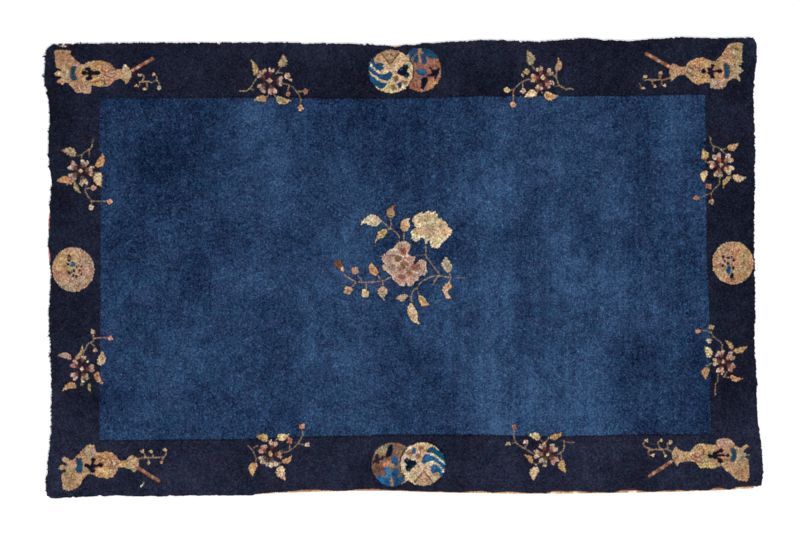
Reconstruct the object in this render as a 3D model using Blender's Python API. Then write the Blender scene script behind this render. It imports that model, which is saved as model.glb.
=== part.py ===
"""A hand-knotted wool pile rug, lying flat, with an overcast cord along each long side.

The rug is woven in one piece: a cotton foundation with a thick cut pile on top, whose lip leans out
over the woven edge and is worn back in places. A line is carved into the pile round the field.
X runs along the rug, Y across it and Z up. The origin is under the middle of its box.
"""

import math
from typing import NamedTuple

import bmesh
import bpy
import numpy as np
from mathutils import Vector

MM = 0.001
ALONG_X = 0
ALONG_Y = 1

# Heights above the floor.
PILE_TOP = 12.5 * MM
PILE_SHOULDER = 11.4 * MM
LIP_HEIGHT = 8.0 * MM
LONG_SIDE_WEAVE = 5.1 * MM
END_WEAVE = 2.5 * MM

# The pile's lip rounds over: how far its shoulder and its top edge lie inside its outermost line.
SHOULDER_INSET = 2.0 * MM
TOP_INSET = 6.0 * MM

# The cord along each long side is wrapped into an oval.
CORD_WIDTH = 8.0 * MM
CORD_HEIGHT = 4.8 * MM
CORD_GAP = 1.1 * MM
CORD_END_GAP = 3 * MM
CORD_STEP = 24 * MM

# The carved line round the field.
GROOVE_WIDTH = 5.0 * MM
GROOVE_DEPTH = 1.2 * MM

# Points along the outline stand about this far apart, and the lip's fine unevenness is this large.
OUTLINE_STEP = 27 * MM
LEAST_STEP = 5 * MM
RIPPLE = 1.3 * MM
RIPPLE_SEED = 7

# Each half of a rounded corner has a point at these angles, in degrees, from its side's line.
BEND_ANGLES = (45, 30, 15, 0)

NAVY = (0.012, 0.017, 0.038, 1.0)
TAN = (0.42, 0.22, 0.11, 1.0)
ROSE_CREAM = (0.52, 0.38, 0.33, 1.0)


class Station(NamedTuple):
    """A place on a side, in mm: along is X on a long side and Y on an end, out is the other axis."""

    along: float
    out: float


class Mark(NamedTuple):
    """A change in the lip, in mm: it lies at along, reaches half to each side, and moves the lip by out."""

    along: float
    half: float
    out: float


class Side(NamedTuple):
    """One side of the rug: which axis it runs along and which way is out, its stations and its marks.

    The pile's lip and the foundation's woven edge each end at their own distance over the line.
    """

    axis: int
    outward: int
    radius: float
    weave_height: float
    line: tuple
    lip_over_line: float
    weave_over_line: float
    wear: tuple
    marks: tuple


UPPER_LINE = (
    Station(-1215, 766),
    Station(-969, 768),
    Station(-586, 771),
    Station(-200, 766),
    Station(-29, 762),
    Station(120, 770),
    Station(286, 778),
    Station(480, 774),
    Station(594, 783),
    Station(782, 777),
    Station(963, 788),
    Station(1032, 785),
    Station(1208, 789),
)
UPPER_WEAR = (Mark(-1162, 34, -12), Mark(-29, 26, -8))
UPPER_NOTCHES = (
    Mark(-972, 6, -4),
    Mark(-702, 6, -5),
    Mark(-632, 6, -9),
    Mark(-347, 5, -4),
    Mark(-263, 5, -4),
    Mark(-132, 6, -6),
    Mark(400, 6, -6),
    Mark(464, 6, -5),
    Mark(775, 10, -5),
    Mark(925, 5, -4),
)

LOWER_LINE = (
    Station(-1221, -789),
    Station(-1100, -783),
    Station(-1000, -779),
    Station(-866, -781),
    Station(-720, -778),
    Station(-586, -779),
    Station(-353, -770),
    Station(-97, -765),
    Station(143, -771),
    Station(467, -775),
    Station(740, -772),
    Station(1014, -766),
    Station(1180, -758),
    Station(1222, -755),
)
LOWER_WEAR = (
    Mark(-326, 90, -7),
    Mark(-114, 80, -5),
    Mark(255, 65, -5),
    Mark(365, 60, -5),
    Mark(525, 45, -10),
    Mark(590, 45, -8),
    Mark(775, 60, -12),
    Mark(930, 70, -4),
    Mark(1076, 34, -10),
    Mark(1165, 50, -10),
)
LOWER_NOTCHES = (
    Mark(-1130, 8, -3),
    Mark(-1040, 7, -3),
    Mark(-800, 7, -2),
    Mark(-640, 7, -3),
)

LEFT_LINE = (
    Station(766, -1216),
    Station(700, -1220),
    Station(610, -1220),
    Station(560, -1213),
    Station(400, -1214),
    Station(290, -1207),
    Station(70, -1216),
    Station(-30, -1207),
    Station(-160, -1211),
    Station(-300, -1204),
    Station(-590, -1207),
    Station(-700, -1217),
    Station(-786, -1222),
)
LEFT_WEAR = (Mark(293, 46, -5), Mark(120, 50, -5), Mark(40, 40, -5))
LEFT_TUFTS = (
    Mark(722, 4, 12),
    Mark(655, 4, 11),
    Mark(598, 4, 6),
    Mark(385, 6, 7),
    Mark(344, 6, 7),
    Mark(-236, 5, 6),
    Mark(-300, 5, 6),
    Mark(-365, 5, 5),
)

RIGHT_LINE = (
    Station(787, 1207),
    Station(742, 1211),
    Station(640, 1200),
    Station(540, 1198),
    Station(400, 1203),
    Station(180, 1200),
    Station(-113, 1204),
    Station(-249, 1201),
    Station(-386, 1209),
    Station(-540, 1218),
    Station(-701, 1231),
    Station(-755, 1225),
)
RIGHT_WEAR = (Mark(-470, 80, -4),)
RIGHT_MARKS = (
    Mark(447, 6, 5),
    Mark(418, 6, -4),
    Mark(155, 6, 3),
    Mark(-18, 7, -4),
    Mark(-240, 6, -3),
)

UPPER = Side(
    axis=ALONG_X,
    outward=1,
    radius=26 * MM,
    weave_height=LONG_SIDE_WEAVE,
    line=UPPER_LINE,
    lip_over_line=0.0,
    weave_over_line=-12 * MM,
    wear=UPPER_WEAR,
    marks=UPPER_NOTCHES,
)
RIGHT = Side(
    axis=ALONG_Y,
    outward=1,
    radius=18 * MM,
    weave_height=END_WEAVE,
    line=RIGHT_LINE,
    lip_over_line=0.0,
    weave_over_line=-3 * MM,
    wear=RIGHT_WEAR,
    marks=RIGHT_MARKS,
)
LOWER = Side(
    axis=ALONG_X,
    outward=-1,
    radius=16 * MM,
    weave_height=LONG_SIDE_WEAVE,
    line=LOWER_LINE,
    lip_over_line=-2 * MM,
    weave_over_line=-9 * MM,
    wear=LOWER_WEAR,
    marks=LOWER_NOTCHES,
)
LEFT = Side(
    axis=ALONG_Y,
    outward=-1,
    radius=20 * MM,
    weave_height=END_WEAVE,
    line=LEFT_LINE,
    lip_over_line=0.0,
    weave_over_line=-4 * MM,
    wear=LEFT_WEAR,
    marks=LEFT_TUFTS,
)

# The field's corners, in mm, and how far its long sides bow in at the middle.
FIELD = {
    "upper_left": (-1039, 580),
    "upper_right": (1034, 590),
    "lower_right": (1051, -571),
    "lower_left": (-1038, -591),
}
FIELD_BOW = 4 * MM


def remove_everything():
    for found in list(bpy.data.objects):
        bpy.data.objects.remove(found, do_unlink=True)


def fabric(name, colour):
    made = bpy.data.materials.new(name)
    made.use_nodes = True
    shader = made.node_tree.nodes["Principled BSDF"]
    shader.inputs["Base Color"].default_value = colour
    shader.inputs["Roughness"].default_value = 0.95
    shader.inputs["Metallic"].default_value = 0.0
    return made


def through(stations, along):
    """Where the smooth curve through a side's stations runs at each place along it."""
    rows = sorted(stations)
    xs = np.array([row.along for row in rows]) * MM
    ys = np.array([row.out for row in rows]) * MM
    slopes = np.gradient(ys, xs)
    at = np.clip(np.searchsorted(xs, along) - 1, 0, len(xs) - 2)
    span = xs[at + 1] - xs[at]
    t = np.clip((along - xs[at]) / span, 0.0, 1.0)
    start = (1 + 2 * t) * (1 - t) ** 2 * ys[at] + t * (1 - t) ** 2 * span * slopes[at]
    end = t * t * (3 - 2 * t) * ys[at + 1] + t * t * (t - 1) * span * slopes[at + 1]
    return start + end


def moved_by(marks, along, sharp):
    """How far the marks move the lip out at each place: V-shaped marks are sharp, worn ones are round."""
    total = np.zeros_like(along)
    for mark in marks:
        near = np.clip(1 - np.abs(along - mark.along * MM) / (mark.half * MM), 0.0, 1.0)
        total += mark.out * MM * (near if sharp else near * near * (3 - 2 * near))
    return total


def corner_of(first, second):
    """Where two sides meet: the end of each line nearest to the other side."""
    long_side, end = (first, second) if first.axis == ALONG_X else (second, first)
    x = max(row.along * end.outward for row in long_side.line) * end.outward
    y = max(row.along * long_side.outward for row in end.line) * long_side.outward
    return Vector((x * MM, y * MM))


def places_along(side, corners, radii):
    """Places along a side from one corner's middle to the next one's, closer at each bend and mark."""
    sign = np.sign(corners[1] - corners[0])
    bends = [corner + turn * radius * (1 - np.sin(np.radians(BEND_ANGLES)))
             for corner, radius, turn in zip(corners, radii, (sign, -sign))]
    start, stop = bends[0][0], bends[1][0]
    even = np.linspace(start, stop, round(abs(stop - start) / OUTLINE_STEP) + 1)
    tips = [(m.along + share * m.half) * MM for m in side.marks for share in (-1, 0, 1)]
    worn = [(m.along + share * m.half) * MM for m in side.wear for share in (-1, -0.5, 0, 0.5, 1)]
    wanted = np.concatenate([*bends, tips, worn])
    clear = [place for place in even if np.min(np.abs(wanted - place)) > LEAST_STEP]
    found = np.unique(np.concatenate([wanted, clear]).round(6))
    return found if sign > 0 else found[::-1]


def rounding(along, corners, radii):
    """How far the rounded corners at both ends of a side pull its line in at each place."""
    pulled = np.zeros_like(along)
    for corner, radius in zip(corners, radii):
        inside = np.clip(radius - np.abs(along - corner), 0.0, radius)
        pulled += radius - np.sqrt(radius**2 - inside**2)
    return pulled


def outline():
    """The points all round the rug, clockwise from its upper left corner, as one table of arrays.

    lip and weave are the plane points where the pile and the foundation end, height is the
    foundation's, side is the number of the side and share how far along the side the point lies.
    """
    order = (UPPER, RIGHT, LOWER, LEFT)
    rows = {"lip": [], "weave": [], "height": [], "side": [], "share": []}
    ripple = np.random.default_rng(RIPPLE_SEED)
    for number, side in enumerate(order):
        before, after = order[number - 1], order[(number + 1) % 4]
        corners = [corner_of(before, side)[side.axis], corner_of(side, after)[side.axis]]
        radii = [max(side.radius, before.radius), max(side.radius, after.radius)]
        *along, stop = places_along(side, corners, radii)
        along = np.array(along)
        middle = through(side.line, along)
        pulled = rounding(along, corners, radii)
        uneven = ripple.uniform(-RIPPLE, RIPPLE, len(along))
        lip = side.lip_over_line + moved_by(side.wear, along, False) + moved_by(side.marks, along, True)
        for name, over in (("lip", lip + uneven), ("weave", side.weave_over_line + 0 * along)):
            points = np.zeros((len(along), 2))
            points[:, side.axis] = along
            points[:, 1 - side.axis] = middle + side.outward * (over - pulled)
            rows[name].append(points)
        rows["height"].append(np.full(len(along), side.weave_height))
        rows["side"].append(np.full(len(along), number))
        rows["share"].append((along - along[0]) / (stop - along[0]))
    return {name: np.concatenate(parts) for name, parts in rows.items()}


def inset(ring, distance):
    """A closed ring of plane points moved in by a distance, along the mean of its neighbours' normals."""
    step = np.roll(ring, -2, axis=0) - np.roll(ring, 2, axis=0)
    normal = np.stack([-step[:, 1], step[:, 0]], 1)
    return ring - distance * normal / np.linalg.norm(normal, axis=1)[:, None]


def field_ring(rim, grow):
    """The field's outline moved out by grow, with a point for each point of the rug's outline."""
    corners = np.array(list(FIELD.values())) * MM
    corners += grow * np.sign(corners)
    start = corners[rim["side"]]
    end = corners[(rim["side"] + 1) % 4]
    share = rim["share"][:, None]
    points = start + share * (end - start)
    bow = FIELD_BOW * np.sin(math.pi * rim["share"]) * (rim["side"] % 2 == 0)
    points[:, 1] -= bow * np.sign(points[:, 1])
    return points


def loft(rings, name, material):
    """A closed solid through rings of points with as many points each, its two ends filled by fans."""
    shape = bmesh.new()
    levels = [[shape.verts.new(point) for point in ring] for ring in rings]
    for low, high in zip(levels, levels[1:]):
        for i in range(len(low)):
            j = (i + 1) % len(low)
            shape.faces.new((low[i], high[i], high[j], low[j]))
    for ring, flip in ((levels[0], False), (levels[-1], True)):
        hub = shape.verts.new(sum((v.co for v in ring), Vector()) / len(ring))
        for i in range(len(ring)):
            pair = (ring[i], ring[(i + 1) % len(ring)])
            shape.faces.new((hub, *(reversed(pair) if flip else pair)))
    bmesh.ops.triangulate(shape, faces=shape.faces)
    bmesh.ops.recalc_face_normals(shape, faces=shape.faces)
    mesh = bpy.data.meshes.new(name)
    shape.to_mesh(mesh)
    shape.free()
    mesh.materials.append(material)
    return bpy.data.objects.new(name, mesh)


def at_height(ring, height):
    return np.column_stack([ring, np.broadcast_to(height, len(ring))])


def rug_body(rim, material):
    """The foundation and its pile, from the underside out round the lip and in over the top."""
    half = GROOVE_WIDTH / 2
    rings = [
        at_height(rim["weave"], 0.0),
        at_height(rim["weave"], rim["height"]),
        at_height(rim["lip"], LIP_HEIGHT),
        at_height(inset(rim["lip"], SHOULDER_INSET), PILE_SHOULDER),
        at_height(inset(rim["lip"], TOP_INSET), PILE_TOP),
        at_height(field_ring(rim, half), PILE_TOP),
        at_height(field_ring(rim, 0.0), PILE_TOP - GROOVE_DEPTH),
        at_height(field_ring(rim, -half), PILE_TOP),
    ]
    return loft(rings, "rug", material)


def side_cord(name, side, material):
    """The overcast cord that runs along the foundation's edge on a long side."""
    low = corner_of(side, LEFT).x + max(side.radius, LEFT.radius) + CORD_END_GAP
    high = corner_of(side, RIGHT).x - max(side.radius, RIGHT.radius) - CORD_END_GAP
    along = np.linspace(low, high, round((high - low) / CORD_STEP) + 1)
    over = side.weave_over_line + CORD_GAP + CORD_WIDTH / 2
    across = through(side.line, along) + side.outward * over
    curve = bpy.data.curves.new(name, "CURVE")
    curve.dimensions = "3D"
    curve.bevel_depth = CORD_WIDTH / 2
    curve.bevel_resolution = 2
    curve.use_fill_caps = True
    spline = curve.splines.new("POLY")
    spline.points.add(len(along) - 1)
    for point, x, y in zip(spline.points, along, across):
        point.co = (x, y, CORD_WIDTH / 2, 1.0)
    curve.materials.append(material)
    cord = bpy.data.objects.new(name, curve)
    cord.scale = (1.0, 1.0, CORD_HEIGHT / CORD_WIDTH)
    return cord


def main():
    remove_everything()
    body = rug_body(outline(), fabric("navy_wool", NAVY))
    lower = side_cord("lower_cord", LOWER, fabric("tan_cotton", TAN))
    upper = side_cord("upper_cord", UPPER, fabric("rose_cotton", ROSE_CREAM))
    pieces = (body, lower, upper)
    holder = bpy.data.objects.new("peking_rug", None)
    collection = bpy.data.collections.new("Peking rug")
    bpy.context.scene.collection.children.link(collection)
    for made in (holder, *pieces):
        collection.objects.link(made)
    bpy.context.view_layer.update()
    corners = np.array([made.matrix_world @ Vector(corner) for made in pieces for corner in made.bound_box])
    middle = (corners.min(axis=0) + corners.max(axis=0)) / 2
    holder.location = (-middle[0], -middle[1], 0.0)
    for made in pieces:
        made.parent = holder


main()
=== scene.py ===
"""Looks of a pile rug: knotted wool on a woven cotton foundation, with an overcast cord on each long side.

The pattern is drawn on a chart, as a weaver's is, and each knot takes the yarn of its place on the chart.
A motif is drawn on a sketch of its own, in finer units than the chart's squares. On the chart and on the
sketches x runs to the right and y runs down. Sizes are in metres unless a comment says otherwise.
"""

import math
from typing import NamedTuple

import bpy
import numpy as np
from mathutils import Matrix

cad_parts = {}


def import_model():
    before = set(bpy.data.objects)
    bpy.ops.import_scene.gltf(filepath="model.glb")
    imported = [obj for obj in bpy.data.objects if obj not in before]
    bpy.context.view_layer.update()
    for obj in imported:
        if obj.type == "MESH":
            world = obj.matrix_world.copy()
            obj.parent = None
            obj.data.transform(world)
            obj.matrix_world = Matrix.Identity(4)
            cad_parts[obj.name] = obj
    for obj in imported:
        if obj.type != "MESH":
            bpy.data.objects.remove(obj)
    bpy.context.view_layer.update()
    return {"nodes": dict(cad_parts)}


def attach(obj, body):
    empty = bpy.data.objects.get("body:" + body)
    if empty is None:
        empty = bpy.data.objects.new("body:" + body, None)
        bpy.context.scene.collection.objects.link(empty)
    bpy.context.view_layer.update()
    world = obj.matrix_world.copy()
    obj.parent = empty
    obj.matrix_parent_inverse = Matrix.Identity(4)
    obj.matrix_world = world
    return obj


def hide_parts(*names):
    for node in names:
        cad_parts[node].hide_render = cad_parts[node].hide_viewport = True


MM = 0.001

# The chart and its place on the rug
SQUARE = 3.42 * MM
CHART_MIDDLE = np.array((403.5, 267.4))
PICTURE_SQUARES = (800, 533)

# The cloth, and the rug with its lip
CLOTH_LENGTH, CLOTH_WIDTH = 2.46, 1.57
RUG_LENGTH, RUG_WIDTH = 2.463, 1.577

# The pile: its knots, its lip as (distance in, height) in mm, and how far each row follows the lip's fray
KNOT = 4.4 * MM
LIP_PROFILE = ((0, 9.8), (2, 11.3), (6, 12.2), (20, 12.4))
FRAY_FADE = (1, 0.75, 0.5, 0.3, 0.15)
LEAST_PILE = 6.3 * MM
LIP_LEVEL = 8 * MM
PILE_TOP = 12 * MM

# A tuft: its depth, its lean and how much it strays, with a few tufts cut low
TUFT_DEPTH = 2.2 * MM
TUFT_LEAN = (0.25 * MM, -0.5 * MM)
TUFT_STRAY = 0.45 * MM
ROOT_UNEVENNESS = 0.3 * MM
TIP_UNEVENNESS = 0.25 * MM
LOW_TUFTS = 0.02
LOW_BY = 1.6 * MM
CREVICE_SHADE = 0.9

# How far the outermost tufts reach out, at the upper, lower, left and right sides
LIP_REACH = (4.5 * MM, 2.5 * MM, 8 * MM, 4.5 * MM)

# How the lip frays along its sides, as (size in squares, depth in mm, seed), and from knot to knot
FRAY_WAVES = ((8, 2.6, 51), (2.3, 2.2, 52))
FRAY_OF_KNOT = 0.9
LOWER_RAGGEDNESS = 0.45
FRAY_CORNER = 3

# Where the lip is worn back, or leans out where less than 0, as (from square, to square, depth in mm)
UPPER_WORN = ((44, 49, -2), (50, 55, 1), (56, 75, 2.5), (388, 400, 1))
LOWER_WORN = (
    (40, 254, -4), (258, 760, 0.9), (262, 318, 1), (354, 408, 0.6), (556, 590, 1.2), (618, 640, 1.2),
    (690, 702, 1.5), (735, 760, 3),
)
LEFT_WORN = ((42, 86, -6), (212, 231, 1.5), (248, 279, 2), (300, 500, -2))
RIGHT_WORN = ((385, 440, 2),)

# Where the lower lip shows dark brown, its worn roots and painted shade between the pile and the cord, and
# most of all, as first squares
ROOTS_AND_SHADE_FROM = 255
ROOTS_AND_SHADE_MOST_FROM = 733

# Stray tufts past the lip, as (on the left side, from square, to square, squares between, longest in mm)
STRAY_TUFTS = (
    (True, 45, 92, 1.9, 9), (True, 92, 256, 5, 5), (True, 256, 282, 1.8, 8), (True, 282, 330, 3.5, 6),
    (True, 330, 366, 2.0, 9), (True, 366, 478, 5, 5), (False, 45, 56, 2.2, 6), (False, 56, 75, 2.4, 9),
    (False, 75, 130, 4, 5), (False, 130, 380, 8, 4), (False, 384, 402, 2.6, 6),
)

# A stray tuft: its root's distance inside the lip, its half width and its height in mm, and in metres
# how far its ridge rises and its tip droops
STRAY_ROOT = 2.5
STRAY_HALF_WIDTH = (1.8, 3.2)
STRAY_HEIGHT = (7.2, 8.6)
STRAY_RIDGE = 1.6 * MM
STRAY_DROOP = 1 * MM

# The line carved round the field: its depth, then its half width and its least way from the middle,
# in squares
GROOVE_DEPTH = 1.0 * MM
GROOVE_REACH = 1.1
GROOVE_BEYOND = 150

# The pile is made in strips, and each is folded in layers for its bake
STRIPS = 6
FOLDS = 3
UNDERSIDE_SHADE = 0.8

# The foundation, thinner at its ends
WEAVE_TOP = 5.1 * MM
END_WEAVE_TOP = 2.5 * MM
END_FROM_MIDDLE = 1.19
END_SLOPE = (20 * MM, 40 * MM)
FOUNDATION_CELL = 20 * MM
WEAVE_WAVES = 0.35 * MM
FLAT_RIM = 50 * MM
END_COLOUR_FROM = 1.15
END_COLOUR_FADE = 0.02

# Where the foundation shows at the left end, as (from square, to square, yarn)
LEFT_BARE = ((212, 231, (190, 132, 130)), (248, 262, (196, 136, 134)), (262, 279, (222, 206, 176)))
LEFT_BARE_DEPTH = 6 * MM

# The cords
CORD_HALF_WIDTH = 3.9 * MM
CORD_HALF_HEIGHT = 2.35 * MM
CORD_CLEARANCE = 0.05 * MM
CORD_SIDES = 8
CORD_RING_GAP = 5 * MM
WRAP_PITCH = 2.8 * MM
WRAP_SLANT = 1.4 * MM

# The girth of a turn of wrapping yarn and its painted shade, darkest in the groove beside the next turn, at
# steps along the cord, and how much turns differ
TURN_GIRTHS = np.array((0.80, 0.97, 1.0, 0.94))
TURN_PAINTED_SHADES = np.array((0.72, 1, 1, 0.95))
GIRTH_UNEVENNESS = 0.04
SHADE_UNEVENNESS = 0.09

# Where the upper cord is pushed out, as (from square, to square, push in mm)
UPPER_CORD_PUSHED = ((55, 75, 5), (387, 401, 3.5))

# Where the cords are worn pale, and where the upper one has dark turns
LOWER_CORD_WORN = ((275, 281), (551, 556), (573, 578), (629, 637), (695, 701), (736, 743))
UPPER_CORD_PALE = ((0, 76), (387, 401))
UPPER_CORD_DARK_TO = 80

# Cotton, as screen colours from 0 to 255
# The lower cord's brown cotton is partly browner yarn and partly painted shade
TAN_COTTON, BROWN_COTTON_AND_SHADE, WORN_TAN_COTTON = (206, 168, 134), (180, 128, 98), (232, 212, 184)
ROSE_COTTON, DULL_ROSE_COTTON, WORN_ROSE_COTTON = (212, 184, 168), (160, 124, 108), (236, 218, 206)
DARK_COTTON = (84, 40, 48)
WEAVE_COTTON, LEFT_END_COTTON, RIGHT_END_COTTON = (150, 122, 100), (196, 160, 142), (120, 62, 50)

# Wool yarns, as screen colours from 0 to 255
IVORY = (246, 228, 198)
CREAM = (232, 204, 162)
PINK_CREAM = (210, 176, 150)
GREY_CREAM = (182, 160, 130)
YELLOW = (220, 192, 136)
GOLD = (204, 162, 106)
TAN = (188, 150, 112)
OLIVE = (178, 154, 110)
ORANGE = (206, 150, 104)
PINK = (196, 160, 142)
MAUVE = (152, 120, 108)
ROSE = (170, 110, 92)
CORAL = (214, 152, 124)
SALMON = (168, 106, 84)
RUST = (150, 82, 60)
BROWN = (118, 84, 62)
UMBER = (80, 54, 48)
MAROON = (58, 34, 46)
# Brown of the lower lip's worn roots, which also stands in for painted shade between the pile and the cord
WORN_ROOTS_AND_SHADE = (72, 40, 34)
INK = (16, 18, 36)
TEAL = (26, 82, 104)
BLUE = (33, 80, 118)
BRIGHT_BLUE = (40, 102, 152)
FIELD_BLUE = (32, 53, 85)
BORDER_NAVY = (22, 25, 42)

# What a lighter knot of the field, or of the border, adds to its yarn
FIELD_RISE = np.array((48, 63, 72)) / 255
BORDER_RISE = np.array((34, 36, 42)) / 255

# How uneven the ground's wool is: from knot to knot, which also paints the shade and sheen of single tufts,
# and in patches as (size in squares, seed, share)
KNOT_SHARE = 0.28
SMALL_PATCHES = ((3.2, 3.2), 20, 0.16)
WORN_PATCHES = ((8, 9), 21, 0.26)
BROAD_PATCHES = ((28, 40), 23, 0.34)

# Patches of redder wool, as (size in squares, seed, share), and what such a patch adds
RED_PATCHES = (((8, 8), 22, 0.018), ((3, 3), 24, 0.007))
REDDER = (1, -0.5, -0.3)

# The motifs' wool: faded and browned, uneven by knot and patch, with some knots much darker
MOTIF_FADE = (0.86, 0.87, 0.88)
MOTIF_TONE, MOTIF_KNOT_SHARE, MOTIF_SMALL_SHARE, MOTIF_WORN_SHARE = 1.02, 0.17, 0.22, 0.06
DARK_KNOTS, DARK_BY = 0.12, 0.3
LEAST_MOTIF_TONE = 0.1
MOTIF_REDDER = 3.3

# A knot worn darker keeps more of its red than of its blue
WORN_WARMTH = (0.8, 1.0, 1.15)
DARKEST = 0.015

# How far a knot lies from its place on the chart, in squares
KNOT_STRAY = 0.16

# How patterns meet their ground: soft edges and rims in squares, and the strength of each yarn over the last
SOFT_EDGE = 0.5
EDGE_YARN_WIDTH, EDGE_YARN_STRENGTH = 1.5, 0.75
RIM_WIDTH, RIM_STRENGTH = 0.9, 0.5
WASH_FIRMNESS, WASH_STRENGTH = 1.6, 0.85

# A petal seen from its foot to its cleft tip, in shares of its length out from its middle and across
PETAL_OUTLINE = (
    (-0.52, 0), (-0.2, 0.28), (0.2, 0.5), (0.48, 0.4), (0.46, 0.2), (0.3, 0), (0.5, -0.22), (0.5, -0.38),
    (0.2, -0.5), (-0.2, -0.26),
)

# The field's lighter and darker bands, partly dye lots and partly painted shade of the pile, as (square,
# lightness along the upper side, lightness along the lower side)
DYE_AND_SHADE_BANDS = (
    (100, 0.74, 0.98), (150, 0.74, 1.03), (200, 0.77, 1.06), (250, 1.04, 1.05), (272, 1.17, 1.00),
    (300, 1.08, 1.00), (330, 0.92, 1.12), (350, 0.96, 1.20), (395, 0.84, 1.02), (450, 0.98, 1.05),
    (475, 1.06, 1.26), (492, 1.12, 1.40), (512, 1.05, 1.20), (570, 1.12, 1.26), (610, 1.14, 1.16),
    (634, 0.97, 0.93), (690, 1.00, 0.84),
)
DYE_AND_SHADE_ROWS = (136, 406)
DYE_AND_SHADE_REACH = (-0.15, 1.15)
MIDDLE_LIGHTNESS = 0.97

# The field's upright streaks as (size, seed, share), which grow stronger from a square on
RIBS, STREAKS = ((1.5, 45), 3, 0.16), ((5, 80), 4, 0.08)
RIBS_FROM, RIBS_GROW, RIBS_LEAST = 380, 100, 0.35

# How much lighter the border is along its upper and lower sides, as rows of the chart and shares
BORDER_GLOW = ((36, 110, 380, 440), (0.10, 0, 0, 0.24))

# The field's edge on the chart, clockwise from the upper left
FIELD_UPPER = ((99.5, 98), (285, 98), (380, 99), (485, 96.5), (645, 96), (705, 94.5))
FIELD_RIGHT = ((705, 94.5), (706.5, 250), (710.5, 345), (710.5, 434.5))
FIELD_LOWER = (
    (710.5, 434.5), (645, 434), (550, 436.5), (480, 434.5), (400, 434.5), (305, 436.5), (240, 439),
    (99.5, 440),
)
FIELD_LEFT = ((99.5, 440), (100.5, 270), (99.5, 98))
FIELD_EDGE = np.vstack([FIELD_UPPER[:-1], FIELD_RIGHT[:-1], FIELD_LOWER[:-1], FIELD_LEFT])

# The lower pair of discs is the upper pair turned half round about this place
DISC_TURN = np.array((813.8, 535.4))

# A sketch's upper left corner on the chart, and its units to a square
MIDDLE_SKETCH = (325, 190, 10.45)
DISC_SKETCH = (355, 35, 15.68)

# A pale thread that lies on the lower border
PALE_THREAD = ((141.2, 486.2), (144, 482.6))


def blend(one, other, share):
    return tuple(a + (b - a) * share for a, b in zip(one, other))


class Leaf(NamedTuple):
    base: tuple
    tip: tuple
    width: float
    yarn: tuple
    edge: tuple
    bow: float = 0.12
    teeth: int = 0


class Spray(NamedTuple):
    """A flower with its leaves and buds. A petal, a bud and a mark are each (middle, size, yarn)."""

    left: float
    top: float
    units: float
    stems: tuple
    leaves: tuple
    petals: tuple
    heart: tuple
    buds: tuple
    marks: tuple


class Vase(NamedTuple):
    """A vase along the border. A wash or mark is (middle, size, yarn), the other spots (middle, size)."""

    left: float
    top: float
    units: float
    outline: tuple
    washes: tuple
    lozenges: tuple
    lines: tuple
    bar: tuple
    flower: tuple
    marks: tuple
    rod: tuple
    bands: tuple
    sprig: tuple
    sprig_buds: tuple


class Disc(NamedTuple):
    """The disc behind of a pair. A wash is (middle, size, yarn), a shape (outline, yarn)."""

    middle: tuple
    size: tuple
    ground: tuple
    washes: tuple
    shapes: tuple
    stem: tuple
    knob: tuple


class Medallion(NamedTuple):
    """A round medallion. A wash is (middle, size, yarn, strength), a mark (middle, size, yarn)."""

    sketch: tuple
    middle: tuple
    size: tuple
    ground: tuple
    edge: tuple
    washes: tuple
    marks: tuple


# The eight flower sprays along the border
UPPER_LEFT_SPRAY = Spray(
    left=215, top=45, units=14.25,
    stems=(
        ((620, 440), (575, 500), (520, 590), (460, 650), (430, 655), (350, 655)),
        ((500, 620), (550, 640)),
        (
            (930, 560), (990, 550), (1050, 570), (1110, 600), (1150, 650), (1190, 700), (1220, 770),
            (1215, 850),
        ),
        ((1160, 660), (1250, 660)), ((1050, 585), (1040, 660)), ((860, 410), (880, 390), (930, 330)),
        ((880, 390), (960, 400)), ((800, 640), (740, 740)), ((820, 690), (870, 750)),
    ),
    leaves=(
        Leaf((575, 440), (510, 205), 80, GOLD, TAN),
        Leaf((935, 310), (975, 130), 125, GREY_CREAM, OLIVE, teeth=4),
        Leaf((740, 780), (560, 785), 100, OLIVE, GOLD),
        Leaf((870, 750), (1085, 795), 110, OLIVE, YELLOW, teeth=4),
    ),
    petals=(
        ((660, 430), (120, 90), MAUVE), ((705, 375), (60, 60), PINK), ((800, 375), (70, 100), PINK),
        ((920, 500), (100, 90), PINK), ((915, 550), (80, 60), ROSE), ((670, 595), (110, 110), MAUVE),
        ((700, 650), (60, 60), PINK), ((810, 635), (110, 130), PINK),
    ),
    heart=((775, 510), (90, 90), PINK_CREAM),
    buds=(
        ((1030, 440), (85, 95), PINK), ((1070, 500), (50, 50), TAN), ((1040, 700), (66, 66), SALMON),
        ((1290, 660), (78, 78), ROSE), ((1220, 895), (90, 90), CORAL),
    ),
    marks=(
        ((765, 430), (50, 60), MAROON), ((850, 560), (50, 60), MAROON), ((740, 590), (40, 60), MAROON),
        ((700, 500), (60, 40), UMBER),
    ),
)

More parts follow.
